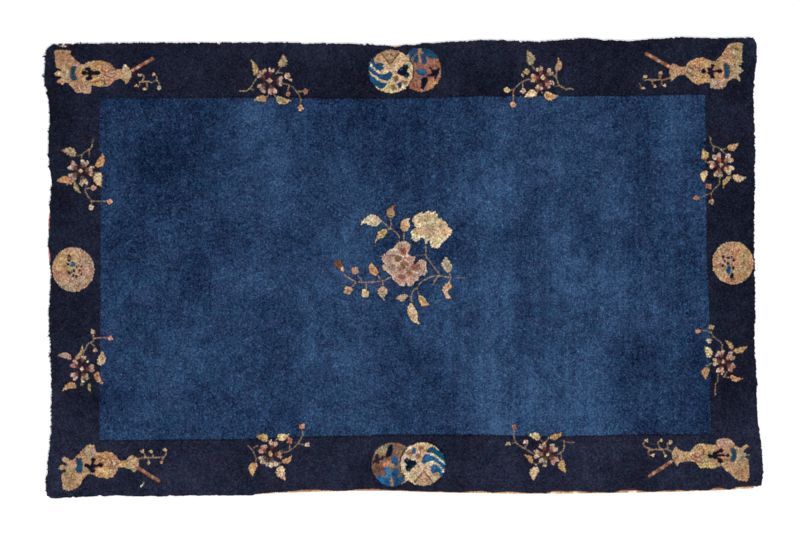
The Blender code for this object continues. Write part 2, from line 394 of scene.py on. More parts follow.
UPPER_RIGHT_SPRAY = Spray(
    left=495, top=45, units=14.25,
    stems=(
        ((530, 300), (590, 370)),
        ((500, 490), (440, 500), (350, 550), (300, 600), (265, 650), (262, 790)),
        ((265, 640), (210, 640)), ((390, 530), (400, 620)),
        (
            (780, 430), (820, 430), (870, 455), (890, 520), (920, 570), (1010, 630), (1060, 620),
            (1115, 635),
        ),
        ((915, 575), (850, 590)), ((870, 455), (880, 380)), ((620, 620), (600, 690)),
        ((650, 640), (690, 700)),
    ),
    leaves=(
        Leaf((510, 285), (455, 70), 125, GREY_CREAM, OLIVE, teeth=4),
        Leaf((880, 370), (905, 180), 95, TAN, GREY_CREAM),
        Leaf((600, 690), (415, 740), 105, CREAM, YELLOW), Leaf((700, 700), (890, 730), 115, GOLD, CREAM),
    ),
    petals=(
        ((570, 470), (115, 115), ORANGE), ((640, 360), (90, 100), PINK), ((770, 395), (105, 105), OLIVE),
        ((765, 540), (115, 125), SALMON), ((640, 590), (100, 100), PINK_CREAM),
    ),
    heart=((685, 460), (80, 80), CREAM),
    buds=(
        ((455, 380), (80, 80), GOLD), ((400, 430), (50, 45), TAN), ((170, 640), (76, 76), YELLOW),
        ((400, 655), (76, 76), PINK_CREAM), ((260, 850), (84, 84), CORAL),
    ),
    marks=(
        ((545, 500), (45, 45), CREAM), ((590, 450), (45, 45), RUST), ((650, 410), (50, 45), BROWN),
        ((610, 530), (60, 35), UMBER), ((710, 600), (40, 60), UMBER), ((710, 390), (35, 60), MAROON),
    ),
)

LOWER_LEFT_SPRAY = Spray(
    left=225, top=415, units=15.68,
    stems=(
        ((560, 680), (490, 680), (460, 610), (430, 550), (390, 510), (350, 475)),
        ((450, 510), (510, 490)), ((490, 690), (480, 740)),
        (
            (910, 585), (1000, 570), (1030, 550), (1080, 510), (1140, 450), (1190, 370), (1215, 300),
            (1205, 220),
        ),
        ((1015, 550), (1010, 460)), ((1150, 455), (1240, 462)), ((720, 430), (670, 385)),
        ((770, 430), (820, 370)), ((840, 770), (870, 800)), ((850, 755), (900, 740)),
    ),
    leaves=(
        Leaf((670, 390), (485, 340), 120, GOLD, OLIVE), Leaf((820, 350), (1010, 300), 110, CREAM, YELLOW),
        Leaf((480, 750), (425, 960), 130, GOLD, YELLOW), Leaf((900, 740), (1050, 640), 85, ORANGE, GOLD),
        Leaf((870, 800), (935, 1025), 150, CREAM, PINK_CREAM, teeth=4),
    ),
    petals=(
        ((750, 470), (130, 120), CREAM), ((600, 550), (120, 140), SALMON),
        ((590, 690), (130, 100), CREAM), ((645, 740), (75, 120), MAUVE), ((750, 750), (150, 130), IVORY),
        ((840, 620), (120, 100), ROSE),
    ),
    heart=((715, 610), (70, 120), YELLOW),
    buds=(
        ((1015, 405), (80, 100), SALMON), ((1210, 180), (100, 85), CORAL),
        ((1290, 465), (80, 65), PINK_CREAM),
    ),
    marks=(
        ((640, 490), (60, 50), PINK), ((660, 560), (35, 70), MAROON), ((880, 570), (50, 45), BROWN),
        ((870, 655), (35, 35), CREAM), ((770, 550), (45, 55), MAROON), ((700, 690), (60, 40), UMBER),
        ((790, 680), (50, 40), MAROON),
    ),
)

LOWER_RIGHT_SPRAY = Spray(
    left=495, top=415, units=15.68,
    stems=(
        ((650, 620), (600, 610), (540, 570), (470, 530), (400, 490), (330, 430), (300, 350), (300, 240)),
        ((330, 430), (250, 445)), ((475, 520), (480, 470)),
        ((980, 620), (1030, 590), (1070, 550), (1090, 490), (1080, 450)), ((1130, 430), (1250, 430)),
        ((1035, 600), (1045, 700)), ((740, 420), (710, 375)), ((790, 430), (850, 350)),
        ((700, 755), (650, 780), (655, 820)), ((650, 780), (600, 750)),
    ),
    leaves=(
        Leaf((705, 375), (520, 320), 100, YELLOW, CREAM), Leaf((860, 350), (1070, 265), 85, GOLD, TAN),
        Leaf((590, 750), (450, 620), 80, GOLD, ORANGE), Leaf((1045, 710), (1110, 915), 110, GOLD, TAN),
        Leaf((655, 820), (600, 1025), 140, CREAM, PINK, teeth=4),
    ),
    petals=(
        ((760, 500), (110, 120), TAN), ((905, 535), (130, 140), PINK_CREAM),
        ((915, 700), (150, 130), SALMON), ((770, 710), (130, 120), GREY_CREAM),
        ((680, 610), (160, 115), CREAM), ((780, 785), (60, 60), PINK),
    ),
    heart=((825, 615), (75, 75), YELLOW),
    buds=(
        ((300, 190), (80, 90), SALMON), ((205, 450), (80, 65), GREY_CREAM),
        ((485, 425), (80, 80), PINK_CREAM), ((1080, 420), (50, 50), RUST),
    ),
    marks=(
        ((730, 615), (60, 60), ROSE), ((790, 690), (50, 60), BROWN), ((830, 550), (40, 50), MAROON),
        ((860, 640), (50, 30), UMBER), ((760, 570), (50, 35), UMBER),
    ),
)

LEFT_UPPER_SPRAY = Spray(
    left=50, top=130, units=17.43,
    stems=(
        ((550, 540), (550, 500), (560, 430), (610, 380), (680, 340), (730, 290), (750, 170)),
        ((680, 345), (685, 480)), ((550, 440), (470, 440)), ((740, 740), (830, 740)),
        ((620, 960), (610, 1060), (660, 1150), (720, 1220), (720, 1300)),
        ((700, 1235), (810, 1240), (960, 1245)), ((650, 1020), (700, 1015)), ((780, 650), (730, 670)),
    ),
    leaves=(
        Leaf((450, 440), (200, 350), 150, GREY_CREAM, TAN, teeth=4),
        Leaf((810, 640), (920, 405), 130, GOLD, ORANGE),
        Leaf((840, 740), (895, 1000), 170, CREAM, GOLD, teeth=4),
        Leaf((390, 900), (110, 890), 150, ORANGE, TAN), Leaf((430, 910), (550, 1110), 75, TAN, OLIVE),
    ),
    petals=(
        ((590, 590), (150, 120), GREY_CREAM), ((410, 640), (180, 130), PINK),
        ((410, 810), (170, 130), MAUVE), ((580, 885), (160, 130), PINK), ((690, 705), (160, 110), TAN),
        ((700, 760), (90, 60), OLIVE),
    ),
    heart=((535, 720), (90, 90), CREAM),
    buds=(
        ((755, 1010), (110, 100), CORAL), ((1040, 1250), (105, 90), CORAL),
        ((715, 1350), (95, 95), PINK_CREAM),
    ),
    marks=(
        ((580, 610), (60, 50), BROWN), ((535, 725), (30, 30), UMBER), ((560, 815), (60, 45), BROWN),
        ((580, 885), (50, 50), GOLD), ((480, 650), (40, 60), MAROON), ((480, 800), (45, 55), MAROON),
        ((640, 760), (50, 50), MAROON), ((650, 680), (60, 45), BROWN),
    ),
)

LEFT_LOWER_SPRAY = Spray(
    left=50, top=325, units=19.6,
    stems=(
        ((650, 620), (650, 600), (660, 530), (700, 460), (740, 380), (800, 340), (850, 300), (850, 190)),
        ((860, 265), (940, 250), (1120, 255)), ((490, 700), (500, 610)),
        ((640, 1070), (600, 1190), (650, 1150)), ((800, 360), (870, 420), (890, 460)),
    ),
    leaves=(
        Leaf((420, 650), (120, 605), 110, PINK, GREY_CREAM), Leaf((490, 690), (640, 380), 80, GOLD, TAN),
        Leaf((960, 780), (1020, 510), 160, PINK_CREAM, YELLOW, teeth=4),
        Leaf((910, 920), (1040, 1165), 120, TAN, ORANGE),
        Leaf((510, 1180), (245, 1280), 130, ORANGE, GOLD),
        Leaf((780, 1140), (800, 1330), 60, OLIVE, GOLD),
    ),
    petals=(
        ((650, 660), (90, 140), PINK), ((490, 780), (160, 140), SALMON), ((490, 990), (160, 140), PINK),
        ((670, 1015), (140, 140), ROSE), ((790, 855), (150, 140), MAUVE),
    ),
    heart=((625, 870), (95, 115), CREAM),
    buds=(
        ((840, 130), (100, 90), GREY_CREAM), ((1180, 255), (100, 90), CORAL), ((885, 490), (85, 75), TAN),
    ),
    marks=(
        ((735, 720), (50, 50), YELLOW), ((720, 1000), (60, 70), OLIVE), ((650, 1110), (60, 45), CREAM),
        ((570, 800), (40, 60), MAROON), ((560, 940), (50, 50), MAROON), ((700, 900), (40, 70), UMBER),
        ((690, 790), (50, 50), MAROON),
    ),
)

RIGHT_UPPER_SPRAY = Spray(
    left=685, top=125, units=17.43,
    stems=(
        ((720, 540), (720, 520), (670, 470), (630, 430), (570, 390), (500, 370), (460, 310), (440, 210)),
        ((500, 370), (500, 460)), ((630, 430), (740, 405)), ((430, 660), (380, 650), (345, 610)),
        (
            (600, 900), (600, 1020), (560, 1070), (510, 1110), (460, 1190), (380, 1210), (330, 1240),
            (260, 1260),
        ),
        ((460, 1190), (465, 1280)), ((790, 860), (800, 900), (830, 895)),
    ),
    leaves=(
        Leaf((740, 400), (940, 320), 115, GOLD, OLIVE), Leaf((345, 610), (310, 420), 135, GOLD, TAN),
        Leaf((370, 790), (320, 1010), 110, CREAM, YELLOW),
        Leaf((840, 890), (1080, 920), 130, CREAM, TAN, teeth=4),
        Leaf((795, 900), (660, 1095), 80, TAN, GOLD),
    ),
    petals=(
        ((570, 570), (160, 130), PINK_CREAM), ((750, 600), (160, 140), CREAM),
        ((755, 770), (160, 160), CREAM), ((590, 835), (140, 160), TAN), ((490, 690), (120, 140), YELLOW),
    ),
    heart=((630, 690), (95, 85), CREAM),
    buds=(
        ((410, 1070), (120, 90), SALMON), ((205, 1270), (110, 80), ROSE),
        ((465, 1335), (100, 100), GREY_CREAM),
    ),
    marks=(
        ((600, 610), (70, 60), ROSE), ((715, 610), (70, 60), SALMON), ((710, 770), (60, 70), CORAL),
        ((600, 890), (60, 45), PINK), ((560, 680), (35, 60), MAROON), ((650, 780), (45, 60), MAROON),
        ((660, 600), (35, 70), MAROON), ((700, 690), (50, 35), UMBER),
    ),
)

RIGHT_LOWER_SPRAY = Spray(
    left=685, top=320, units=19.6,
    stems=(
        ((720, 620), (720, 600), (730, 500), (700, 440), (640, 390), (560, 320), (520, 260), (530, 180)),
        ((320, 210), (440, 215), (520, 250)), ((560, 330), (480, 370)),
        ((830, 1000), (790, 1080), (760, 1110), (880, 1130)),
        ((650, 1060), (640, 1200), (600, 1270), (600, 1470)), ((430, 900), (520, 850)),
        ((950, 600), (920, 650), (900, 690)),
    ),
    leaves=(
        Leaf((960, 600), (1230, 500), 110, OLIVE, GOLD), Leaf((930, 580), (790, 400), 85, GOLD, TAN),
        Leaf((480, 730), (390, 510), 150, CREAM, YELLOW, teeth=4),
        Leaf((440, 930), (400, 1160), 150, ORANGE, TAN),
        Leaf((890, 1110), (1130, 1150), 100, ORANGE, CORAL),
    ),
    petals=(
        ((710, 660), (120, 140), PINK), ((630, 700), (60, 70), PINK_CREAM),
        ((880, 725), (170, 150), MAUVE), ((890, 920), (170, 160), ROSE), ((700, 975), (150, 150), CREAM),
        ((620, 820), (130, 150), GREY_CREAM),
    ),
    heart=((750, 820), (80, 110), YELLOW),
    buds=(
        ((250, 220), (110, 90), CORAL), ((520, 140), (105, 90), OLIVE),
        ((470, 405), (110, 100), PINK_CREAM),
    ),
    marks=(
        ((840, 740), (70, 60), ORANGE), ((735, 950), (60, 60), CORAL), ((735, 1010), (60, 50), ORANGE),
        ((660, 830), (45, 60), BROWN), ((790, 760), (50, 50), MAROON), ((810, 880), (50, 60), MAROON),
        ((700, 890), (60, 40), MAROON), ((690, 750), (50, 50), MAROON), ((940, 860), (50, 40), OLIVE),
    ),
)

SPRAYS = (
    UPPER_LEFT_SPRAY, UPPER_RIGHT_SPRAY, LOWER_LEFT_SPRAY, LOWER_RIGHT_SPRAY, LEFT_UPPER_SPRAY,
    LEFT_LOWER_SPRAY, RIGHT_UPPER_SPRAY, RIGHT_LOWER_SPRAY,
)

# The spray in the middle of the field
MIDDLE_STEMS = (
    ((590, 325), (650, 370), (700, 410), (740, 445), (775, 490), (775, 540)),
    ((685, 290), (690, 350), (682, 395)), ((650, 412), (705, 405)), ((825, 430), (825, 530)),
    (
        (1055, 540), (1055, 680), (1090, 740), (1130, 795), (1185, 865), (1200, 892), (1250, 905),
        (1320, 915),
    ),
    (
        (1200, 892), (1160, 900), (1110, 905), (1050, 935), (990, 975), (970, 1010), (925, 1050),
        (905, 1100), (903, 1185),
    ),
    ((965, 1015), (970, 1060), (985, 1100)), ((1200, 895), (1160, 930), (1125, 990)),
    ((1290, 862), (1315, 905), (1300, 960)),
    ((690, 905), (640, 935), (590, 950), (520, 960), (430, 967), (330, 960), (260, 925), (200, 885)),
    ((345, 900), (385, 950)), ((330, 965), (300, 990), (280, 1020)), ((430, 970), (432, 1040)),
    ((600, 950), (605, 1005)), ((555, 890), (575, 940)),
)

THIN_MIDDLE_STEMS = (((945, 685), (1050, 678)), ((1320, 915), (1460, 918)), ((868, 1110), (900, 1112)))

MIDDLE_LEAVES = (
    (
        (
            (590, 325), (555, 282), (520, 262), (462, 262), (425, 290), (385, 330), (370, 382),
            (400, 342), (440, 352), (490, 375), (545, 372),
        ),
        blend(CREAM, PINK, 0.3), IVORY,
    ),
    (
        (
            (745, 152), (705, 165), (680, 185), (650, 215), (638, 250), (665, 285), (700, 285),
            (730, 255), (722, 215), (715, 185),
        ),
        blend(OLIVE, BROWN, 0.4), TAN,
    ),
    (
        (
            (888, 298), (840, 305), (805, 325), (788, 370), (795, 410), (830, 435), (865, 420),
            (885, 370), (872, 330),
        ),
        blend(TAN, CREAM, 0.3), CREAM,
    ),
    (
        (
            (650, 425), (610, 412), (575, 430), (550, 460), (540, 500), (520, 550), (570, 502),
            (610, 500), (635, 465),
        ),
        GOLD, YELLOW,
    ),
    (
        (
            (95, 770), (115, 738), (150, 730), (180, 770), (200, 810), (192, 855), (165, 840), (130, 815),
            (105, 800),
        ),
        blend(RUST, BROWN, 0.5), blend(RUST, UMBER, 0.6),
    ),
    (
        ((485, 758), (460, 800), (465, 850), (500, 885), (540, 888), (560, 860), (540, 820), (508, 790)),
        blend(ORANGE, TAN, 0.4), YELLOW,
    ),
    (
        (
            (600, 1005), (560, 1030), (552, 1075), (575, 1105), (620, 1152), (612, 1112), (645, 1085),
            (652, 1050), (630, 1015),
        ),
        blend(GREY_CREAM, PINK, 0.4), blend(CREAM, OLIVE, 0.3),
    ),
    (
        ((862, 1100), (810, 1088), (770, 1110), (738, 1135), (770, 1147), (800, 1165), (835, 1150)),
        PINK_CREAM, blend(TAN, PINK_CREAM, 0.5),
    ),
    (
        (
            (905, 1185), (870, 1220), (862, 1275), (885, 1330), (925, 1375), (960, 1395), (1003, 1400),
            (968, 1370), (968, 1310), (945, 1245),
        ),
        blend(CREAM, TAN, 0.4), CREAM,
    ),
    (
        (
            (985, 1100), (978, 1140), (1000, 1180), (1010, 1210), (1045, 1215), (1088, 1202),
            (1060, 1170), (1045, 1130), (1015, 1110),
        ),
        GOLD, YELLOW,
    ),
    (
        (
            (1265, 700), (1235, 740), (1222, 790), (1250, 830), (1280, 862), (1310, 840), (1328, 795),
            (1305, 750),
        ),
        blend(GREY_CREAM, PINK, 0.3), blend(CREAM, OLIVE, 0.25),
    ),
    (
        (
            (1300, 960), (1255, 990), (1230, 1040), (1245, 1085), (1270, 1128), (1322, 1132),
            (1290, 1090), (1280, 1050), (1325, 1020), (1320, 980),
        ),
        blend(CREAM, TAN, 0.5), CREAM,
    ),
)

MIDDLE_BUDS = (
    ((315, 842), (78, 78), blend(ORANGE, PINK, 0.45)),
    ((240, 1050), (86, 86), blend(GOLD, PINK_CREAM, 0.4)),
    ((420, 1078), (84, 98), blend(CREAM, YELLOW, 0.4)),
)

MIDDLE_WASHES = (
    ((180, 832), (40, 66), CREAM), ((735, 165), (60, 60), RUST),
    ((700, 235), (60, 70), blend(TAN, ROSE, 0.4)), ((832, 382), (50, 60), ORANGE),
    ((445, 1050), (34, 34), UMBER), ((1292, 1000), (50, 46), ORANGE), ((1042, 1182), (44, 44), ORANGE),
    ((1275, 800), (50, 50), PINK),
)

CREAM_PEONY = (
    (915, 300), (940, 270), (975, 245), (1010, 235), (1035, 247), (1060, 225), (1090, 215), (1120, 235),
    (1150, 225), (1170, 250), (1175, 290), (1210, 295), (1250, 330), (1275, 350), (1290, 385),
    (1320, 410), (1325, 440), (1300, 480), (1280, 500), (1250, 530), (1215, 565), (1180, 610),
    (1150, 610), (1120, 595), (1100, 560), (1095, 520), (1075, 530), (1065, 560), (1045, 545),
    (1030, 500), (1010, 495), (985, 520), (950, 540), (915, 520), (905, 480), (900, 440), (925, 410),
    (960, 395), (935, 370), (920, 340),
)

CREAM_PEONY_WASHES = (
    ((1090, 420), (130, 190), GREY_CREAM), ((965, 440), (100, 80), blend(GOLD, CREAM, 0.35)),
    ((1100, 285), (110, 80), blend(GOLD, PINK_CREAM, 0.4)),
    ((1235, 450), (110, 90), blend(GOLD, CREAM, 0.25)), ((1160, 530), (80, 100), YELLOW),
    ((1010, 330), (90, 80), blend(YELLOW, PINK_CREAM, 0.5)), ((1060, 520), (60, 60), GREY_CREAM),
    ((1215, 375), (80, 40), PINK),
)

CREAM_PEONY_VEINS = (
    ((960, 395), (1030, 400), (1065, 420)), ((1035, 247), (1055, 320), (1080, 370)),
    ((1175, 290), (1140, 340), (1110, 380)), ((1240, 372), (1180, 375), (1120, 400)),
    ((1095, 520), (1095, 460)), ((1250, 530), (1190, 480), (1130, 450)),
)

PINK_PEONY = (
    (745, 570), (780, 545), (830, 535), (870, 550), (895, 590), (880, 640), (860, 665), (900, 690),
    (940, 695), (930, 740), (925, 780), (960, 770), (985, 735), (1030, 730), (1060, 760), (1055, 800),
    (1068, 840), (1050, 880), (1010, 885), (985, 900), (970, 940), (930, 965), (910, 1000), (870, 1005),
    (850, 960), (840, 990), (810, 1005), (770, 990), (740, 960), (710, 935), (690, 900), (665, 870),
    (640, 850), (610, 840), (597, 800), (625, 765), (595, 735), (600, 690), (640, 665), (665, 635),
    (700, 615), (725, 600),
)

PINK_PEONY_WASHES = (
    ((680, 700), (120, 110), blend(PINK, MAUVE, 0.5)), ((765, 712), (95, 90), blend(BROWN, TAN, 0.2)),
    ((832, 785), (110, 95), blend(BROWN, TAN, 0.2)), ((700, 805), (80, 80), MAUVE),
    ((790, 830), (70, 60), MAUVE), ((805, 905), (100, 70), blend(BROWN, ROSE, 0.3)),
    ((945, 800), (125, 110), blend(RUST, ROSE, 0.25)), ((875, 870), (90, 75), blend(RUST, ROSE, 0.4)),
    ((822, 640), (75, 90), RUST), ((890, 730), (60, 60), blend(TAN, PINK, 0.4)),
)

PINK_PEONY_VEINS = (
    ((640, 768), (760, 762), (800, 742), (858, 732)), ((742, 780), (742, 840), (765, 880)),
    ((760, 765), (790, 800)), ((850, 790), (852, 880), (846, 955)), ((850, 830), (930, 850), (980, 868)),
    ((760, 880), (850, 855)), ((730, 600), (740, 640), (800, 690), (862, 690)), ((905, 770), (870, 810)),
    ((720, 700), (700, 750)),
)

# The vases of the border
UPPER_LEFT_VASE = Vase(
    left=40, top=30, units=9.8,
    outline=(
        (148, 200), (275, 200), (300, 230), (320, 265), (398, 330), (428, 340), (462, 316), (510, 305),
        (570, 300), (620, 305), (680, 325), (720, 370), (750, 385), (800, 380), (820, 350), (838, 335),
        (860, 365), (885, 385), (895, 420), (890, 460), (850, 528), (825, 500), (790, 480), (760, 480),
        (720, 500), (690, 530), (650, 550), (600, 555), (540, 545), (505, 540), (500, 600), (495, 620),
        (400, 615), (350, 605), (325, 575), (270, 520), (240, 510), (225, 530), (175, 520), (165, 500),
        (175, 485), (210, 475), (205, 455), (170, 450), (145, 435), (150, 420), (170, 400), (200, 400),
        (210, 385), (165, 370), (152, 330), (148, 260),
    ),
    washes=(
        ((220, 270), (200, 160), blend(TAN, BROWN, 0.25)), ((350, 345), (110, 80), PINK),
        ((250, 440), (150, 110), GREY_CREAM), ((430, 570), (200, 120), blend(PINK, TAN, 0.4)),
        ((385, 420), (70, 110), ORANGE), ((580, 350), (200, 120), blend(GOLD, ORANGE, 0.4)),
        ((580, 495), (200, 120), blend(GOLD, YELLOW, 0.3)), ((700, 425), (120, 70), PINK_CREAM),
        ((690, 505), (100, 60), PINK), ((690, 345), (80, 50), OLIVE),
        ((840, 430), (130, 120), blend(TAN, CREAM, 0.4)), ((838, 360), (50, 60), CREAM),
        ((195, 430), (70, 50), CREAM),
    ),
    lozenges=(
        ((695, 443), (92, 52)), ((672, 511), (80, 50)), ((672, 356), (80, 40)), ((610, 480), (60, 40)),
    ),
    lines=(
        ((600, 380), (640, 415), (700, 392), (740, 390)), ((620, 430), (660, 455), (720, 470)),
        ((632, 500), (640, 545)), ((500, 520), (560, 500), (630, 500)),
    ),
    bar=(
        (312, 365), (335, 358), (357, 362), (340, 395), (338, 440), (357, 482), (330, 488), (312, 478),
        (303, 420),
    ),
    flower=(
        ((432, 421), (58, 44)), ((468, 383), (62, 40)), ((491, 421), (62, 58)), ((530, 420), (60, 34)),
        ((560, 420), (60, 50)), ((482, 474), (70, 42)), ((486, 450), (40, 30)),
    ),
    marks=(
        ((412, 368), (44, 34), YELLOW), ((448, 352), (40, 22), OLIVE), ((462, 404), (17, 17), GOLD),
        ((519, 398), (17, 17), GOLD), ((463, 443), (17, 17), GOLD), ((916, 420), (45, 50), MAROON),
    ),
    rod=((905, 395), (1100, 283)),
    bands=(((905, 390), (40, 45)), ((965, 357), (45, 50)), ((1042, 312), (40, 45))),
    sprig=(
        ((970, 512), (1050, 505), (1110, 510), (1140, 492), (1165, 520), (1180, 560)),
        ((1140, 492), (1142, 455), (1115, 432)), ((975, 512), (1005, 492), (1020, 455), (995, 432)),
        ((975, 512), (975, 540)), ((1040, 510), (1050, 548), (1045, 575)),
    ),
    sprig_buds=(
        ((1168, 567), (46, 50)), ((1115, 432), (38, 40)), ((975, 442), (50, 34)), ((945, 547), (50, 32)),
        ((1027, 577), (50, 32)),
    ),
)

UPPER_RIGHT_VASE = Vase(
    left=640, top=30, units=12.06,
    outline=(
        (1100, 160), (1180, 150), (1225, 160), (1240, 200), (1230, 300), (1235, 390), (1190, 430),
        (1245, 490), (1190, 530), (1210, 610), (1150, 580), (1100, 590), (1060, 620), (1020, 690),
        (970, 705), (860, 700), (845, 640), (780, 640), (690, 655), (630, 620), (550, 550), (480, 545),
        (430, 570), (375, 620), (355, 520), (360, 470), (390, 400), (440, 430), (540, 440), (600, 380),
        (690, 340), (780, 340), (880, 380), (930, 360), (1000, 280), (1060, 190),
    ),
    washes=(
        ((1150, 260), (180, 220), blend(TAN, BROWN, 0.25)), ((1180, 480), (160, 180), GREY_CREAM),
        ((930, 650), (220, 130), PINK), ((720, 400), (260, 130), blend(GOLD, ORANGE, 0.3)),
        ((700, 590), (260, 130), blend(GOLD, YELLOW, 0.3)), ((600, 490), (140, 110), PINK_CREAM),
        ((430, 500), (130, 140), blend(TAN, CREAM, 0.4)), ((970, 420), (90, 80), ORANGE),
        ((980, 560), (90, 90), ORANGE),
    ),
    lozenges=(
        ((607, 480), (92, 76)), ((690, 435), (78, 54)), ((652, 571), (92, 54)), ((560, 520), (60, 50)),
    ),
    lines=(
        ((650, 420), (700, 460), (760, 430)), ((560, 500), (620, 540), (700, 560)),
        ((590, 440), (620, 470), (650, 480)),
    ),
    bar=((1014, 415), (1055, 412), (1074, 465), (1074, 526), (1059, 571), (1018, 564), (1030, 490)),
    flower=(
        ((768, 496), (70, 60)), ((835, 470), (60, 46)), ((838, 520), (60, 46)), ((880, 430), (56, 44)),
        ((875, 562), (62, 52)), ((872, 496), (90, 40)), ((920, 496), (60, 34)), ((959, 496), (70, 54)),
        ((872, 458), (30, 40)), ((872, 535), (30, 40)),
    ),
    marks=(((1155, 225), (34, 34), UMBER), ((1130, 270), (30, 50), IVORY)), rod=((355, 440), (75, 285)),
    bands=(((230, 370), (60, 60)), ((130, 315), (60, 60)), ((340, 430), (50, 50))),
    sprig=(
        ((355, 575), (290, 600), (240, 600), (170, 600), (100, 600), (60, 600)),
        ((240, 595), (265, 505), (225, 530), (240, 575)), ((60, 600), (75, 545), (40, 580), (60, 610)),
        ((150, 605), (160, 660), (185, 675)), ((260, 610), (265, 660), (295, 670)),
        ((0, 650), (20, 700), (45, 700)),
    ),
    sprig_buds=(
        ((250, 515), (55, 45)), ((62, 560), (50, 45)), ((185, 678), (50, 40)), ((300, 670), (50, 40)),
        ((40, 700), (50, 40)),
    ),
)

LOWER_LEFT_VASE = Vase(
    left=40, top=430, units=11.2,
    outline=(
        (251, 344), (248, 311), (309, 314), (350, 341), (397, 307), (430, 272), (500, 200), (540, 170),
        (610, 175), (625, 250), (680, 250), (760, 245), (830, 270), (885, 340), (960, 340), (1000, 300),
        (1030, 285), (1090, 310), (1105, 370), (1090, 420), (1060, 480), (1010, 440), (960, 425),
        (880, 420), (850, 480), (800, 530), (740, 540), (650, 525), (600, 500), (540, 495), (490, 540),
        (440, 620), (370, 665), (290, 675), (255, 640), (243, 490), (283, 478), (289, 443), (221, 443),
        (207, 414), (233, 393), (287, 402), (292, 367),
    ),
    washes=(
        ((290, 390), (140, 140), GREY_CREAM), ((330, 580), (170, 160), blend(TAN, BROWN, 0.2)),
        ((560, 240), (150, 120), PINK), ((720, 300), (220, 110), blend(GOLD, ORANGE, 0.3)),
        ((700, 470), (240, 110), blend(GOLD, YELLOW, 0.3)), ((810, 370), (130, 110), PINK_CREAM),
        ((930, 380), (140, 90), blend(GOLD, YELLOW, 0.4)),
        ((1050, 370), (120, 150), blend(TAN, CREAM, 0.4)),
    ),
    lozenges=(
        ((734, 380), (92, 58)), ((829, 316), (78, 46)), ((807, 417), (78, 46)), ((790, 365), (60, 44)),
    ),
    lines=(
        ((760, 300), (800, 350), (790, 420)), ((650, 290), (700, 320), (760, 330)),
        ((820, 330), (860, 370), (830, 420)),
    ),
    bar=((404, 332), (430, 318), (458, 324), (472, 400), (460, 472), (430, 474), (402, 460), (410, 395)),
    flower=(
        ((530, 402), (78, 50)), ((596, 332), (58, 50)), ((592, 402), (86, 52)), ((590, 365), (40, 40)),
        ((640, 398), (60, 36)), ((676, 395), (68, 58)), ((590, 458), (66, 48)), ((560, 430), (50, 36)),
    ),
    marks=(((500, 330), (30, 25), YELLOW),), rod=((1090, 420), (1330, 570)),
    bands=(((1160, 465), (55, 55)), ((1265, 530), (55, 55))),
    sprig=(
        ((1110, 320), (1170, 310), (1300, 310), (1390, 300)), ((1215, 310), (1220, 370)),
        ((1380, 305), (1360, 360)), ((1145, 245), (1175, 280), (1170, 310)),
        ((1240, 245), (1265, 280), (1262, 310)), ((1400, 225), (1415, 260), (1390, 300)),
    ),
    sprig_buds=(
        ((1145, 240), (55, 42)), ((1240, 240), (55, 42)), ((1400, 222), (55, 42)),
        ((1220, 368), (45, 40)), ((1358, 362), (45, 40)),
    ),
)

LOWER_RIGHT_VASE = Vase(
    left=640, top=430, units=12.06,
    outline=(
        (930, 120), (1060, 100), (1110, 140), (1160, 190), (1210, 215), (1290, 175), (1300, 210),
        (1255, 240), (1260, 280), (1335, 295), (1265, 320), (1310, 390), (1305, 600), (1180, 600),
        (1100, 530), (1030, 480), (985, 435), (940, 440), (905, 465), (830, 455), (740, 460), (700, 420),
        (640, 375), (560, 380), (480, 390), (455, 430), (420, 400), (390, 300), (400, 240), (440, 210),
        (480, 250), (600, 260), (640, 220), (700, 170), (760, 165), (910, 175),
    ),
    washes=(
        ((1000, 160), (200, 120), PINK), ((1220, 300), (160, 160), GREY_CREAM),
        ((1230, 510), (170, 190), blend(TAN, BROWN, 0.2)),
        ((760, 230), (240, 120), blend(GOLD, ORANGE, 0.3)),
        ((800, 420), (260, 90), blend(GOLD, YELLOW, 0.3)), ((660, 310), (150, 110), PINK_CREAM),
        ((450, 310), (130, 180), blend(TAN, CREAM, 0.4)), ((560, 320), (120, 80), GOLD),
    ),
    lozenges=(
        ((720, 213), (84, 52)), ((690, 300), (84, 52)), ((712, 352), (72, 48)), ((640, 320), (60, 50)),
    ),
    lines=(
        ((640, 300), (700, 330), (760, 290)), ((620, 340), (700, 380), (760, 400)),
        ((740, 200), (770, 250), (760, 300)),
    ),
    bar=(
        (1099, 227), (1125, 226), (1148, 244), (1158, 313), (1136, 380), (1110, 376), (1099, 361),
        (1116, 305),
    ),
    flower=(
        ((846, 313), (70, 52)), ((905, 288), (60, 56)), ((905, 328), (60, 56)), ((965, 306), (170, 34)),
        ((1062, 305), (50, 42)), ((978, 250), (62, 50)), ((942, 268), (50, 36)), ((973, 374), (66, 58)),
        ((945, 345), (50, 36)),
    ),
    marks=(((1310, 345), (40, 45), TEAL),), rod=((455, 330), (115, 555)),
    bands=(((370, 385), (60, 60)), ((265, 455), (60, 60)), ((170, 520), (60, 60))),
    sprig=(
        ((385, 260), (330, 235), (270, 235), (160, 235)), ((75, 130), (40, 170), (75, 210), (160, 235)),
        ((255, 130), (220, 150), (235, 210), (275, 240)), ((365, 150), (330, 170), (340, 230)),
        ((150, 240), (105, 250), (110, 300), (155, 300)), ((275, 240), (290, 280), (310, 310)),
    ),
    sprig_buds=(
        ((80, 128), (50, 42)), ((258, 128), (50, 42)), ((368, 148), (50, 42)), ((158, 302), (50, 40)),
        ((312, 312), (45, 40)),
    ),
)

VASES = (UPPER_LEFT_VASE, UPPER_RIGHT_VASE, LOWER_LEFT_VASE, LOWER_RIGHT_VASE)

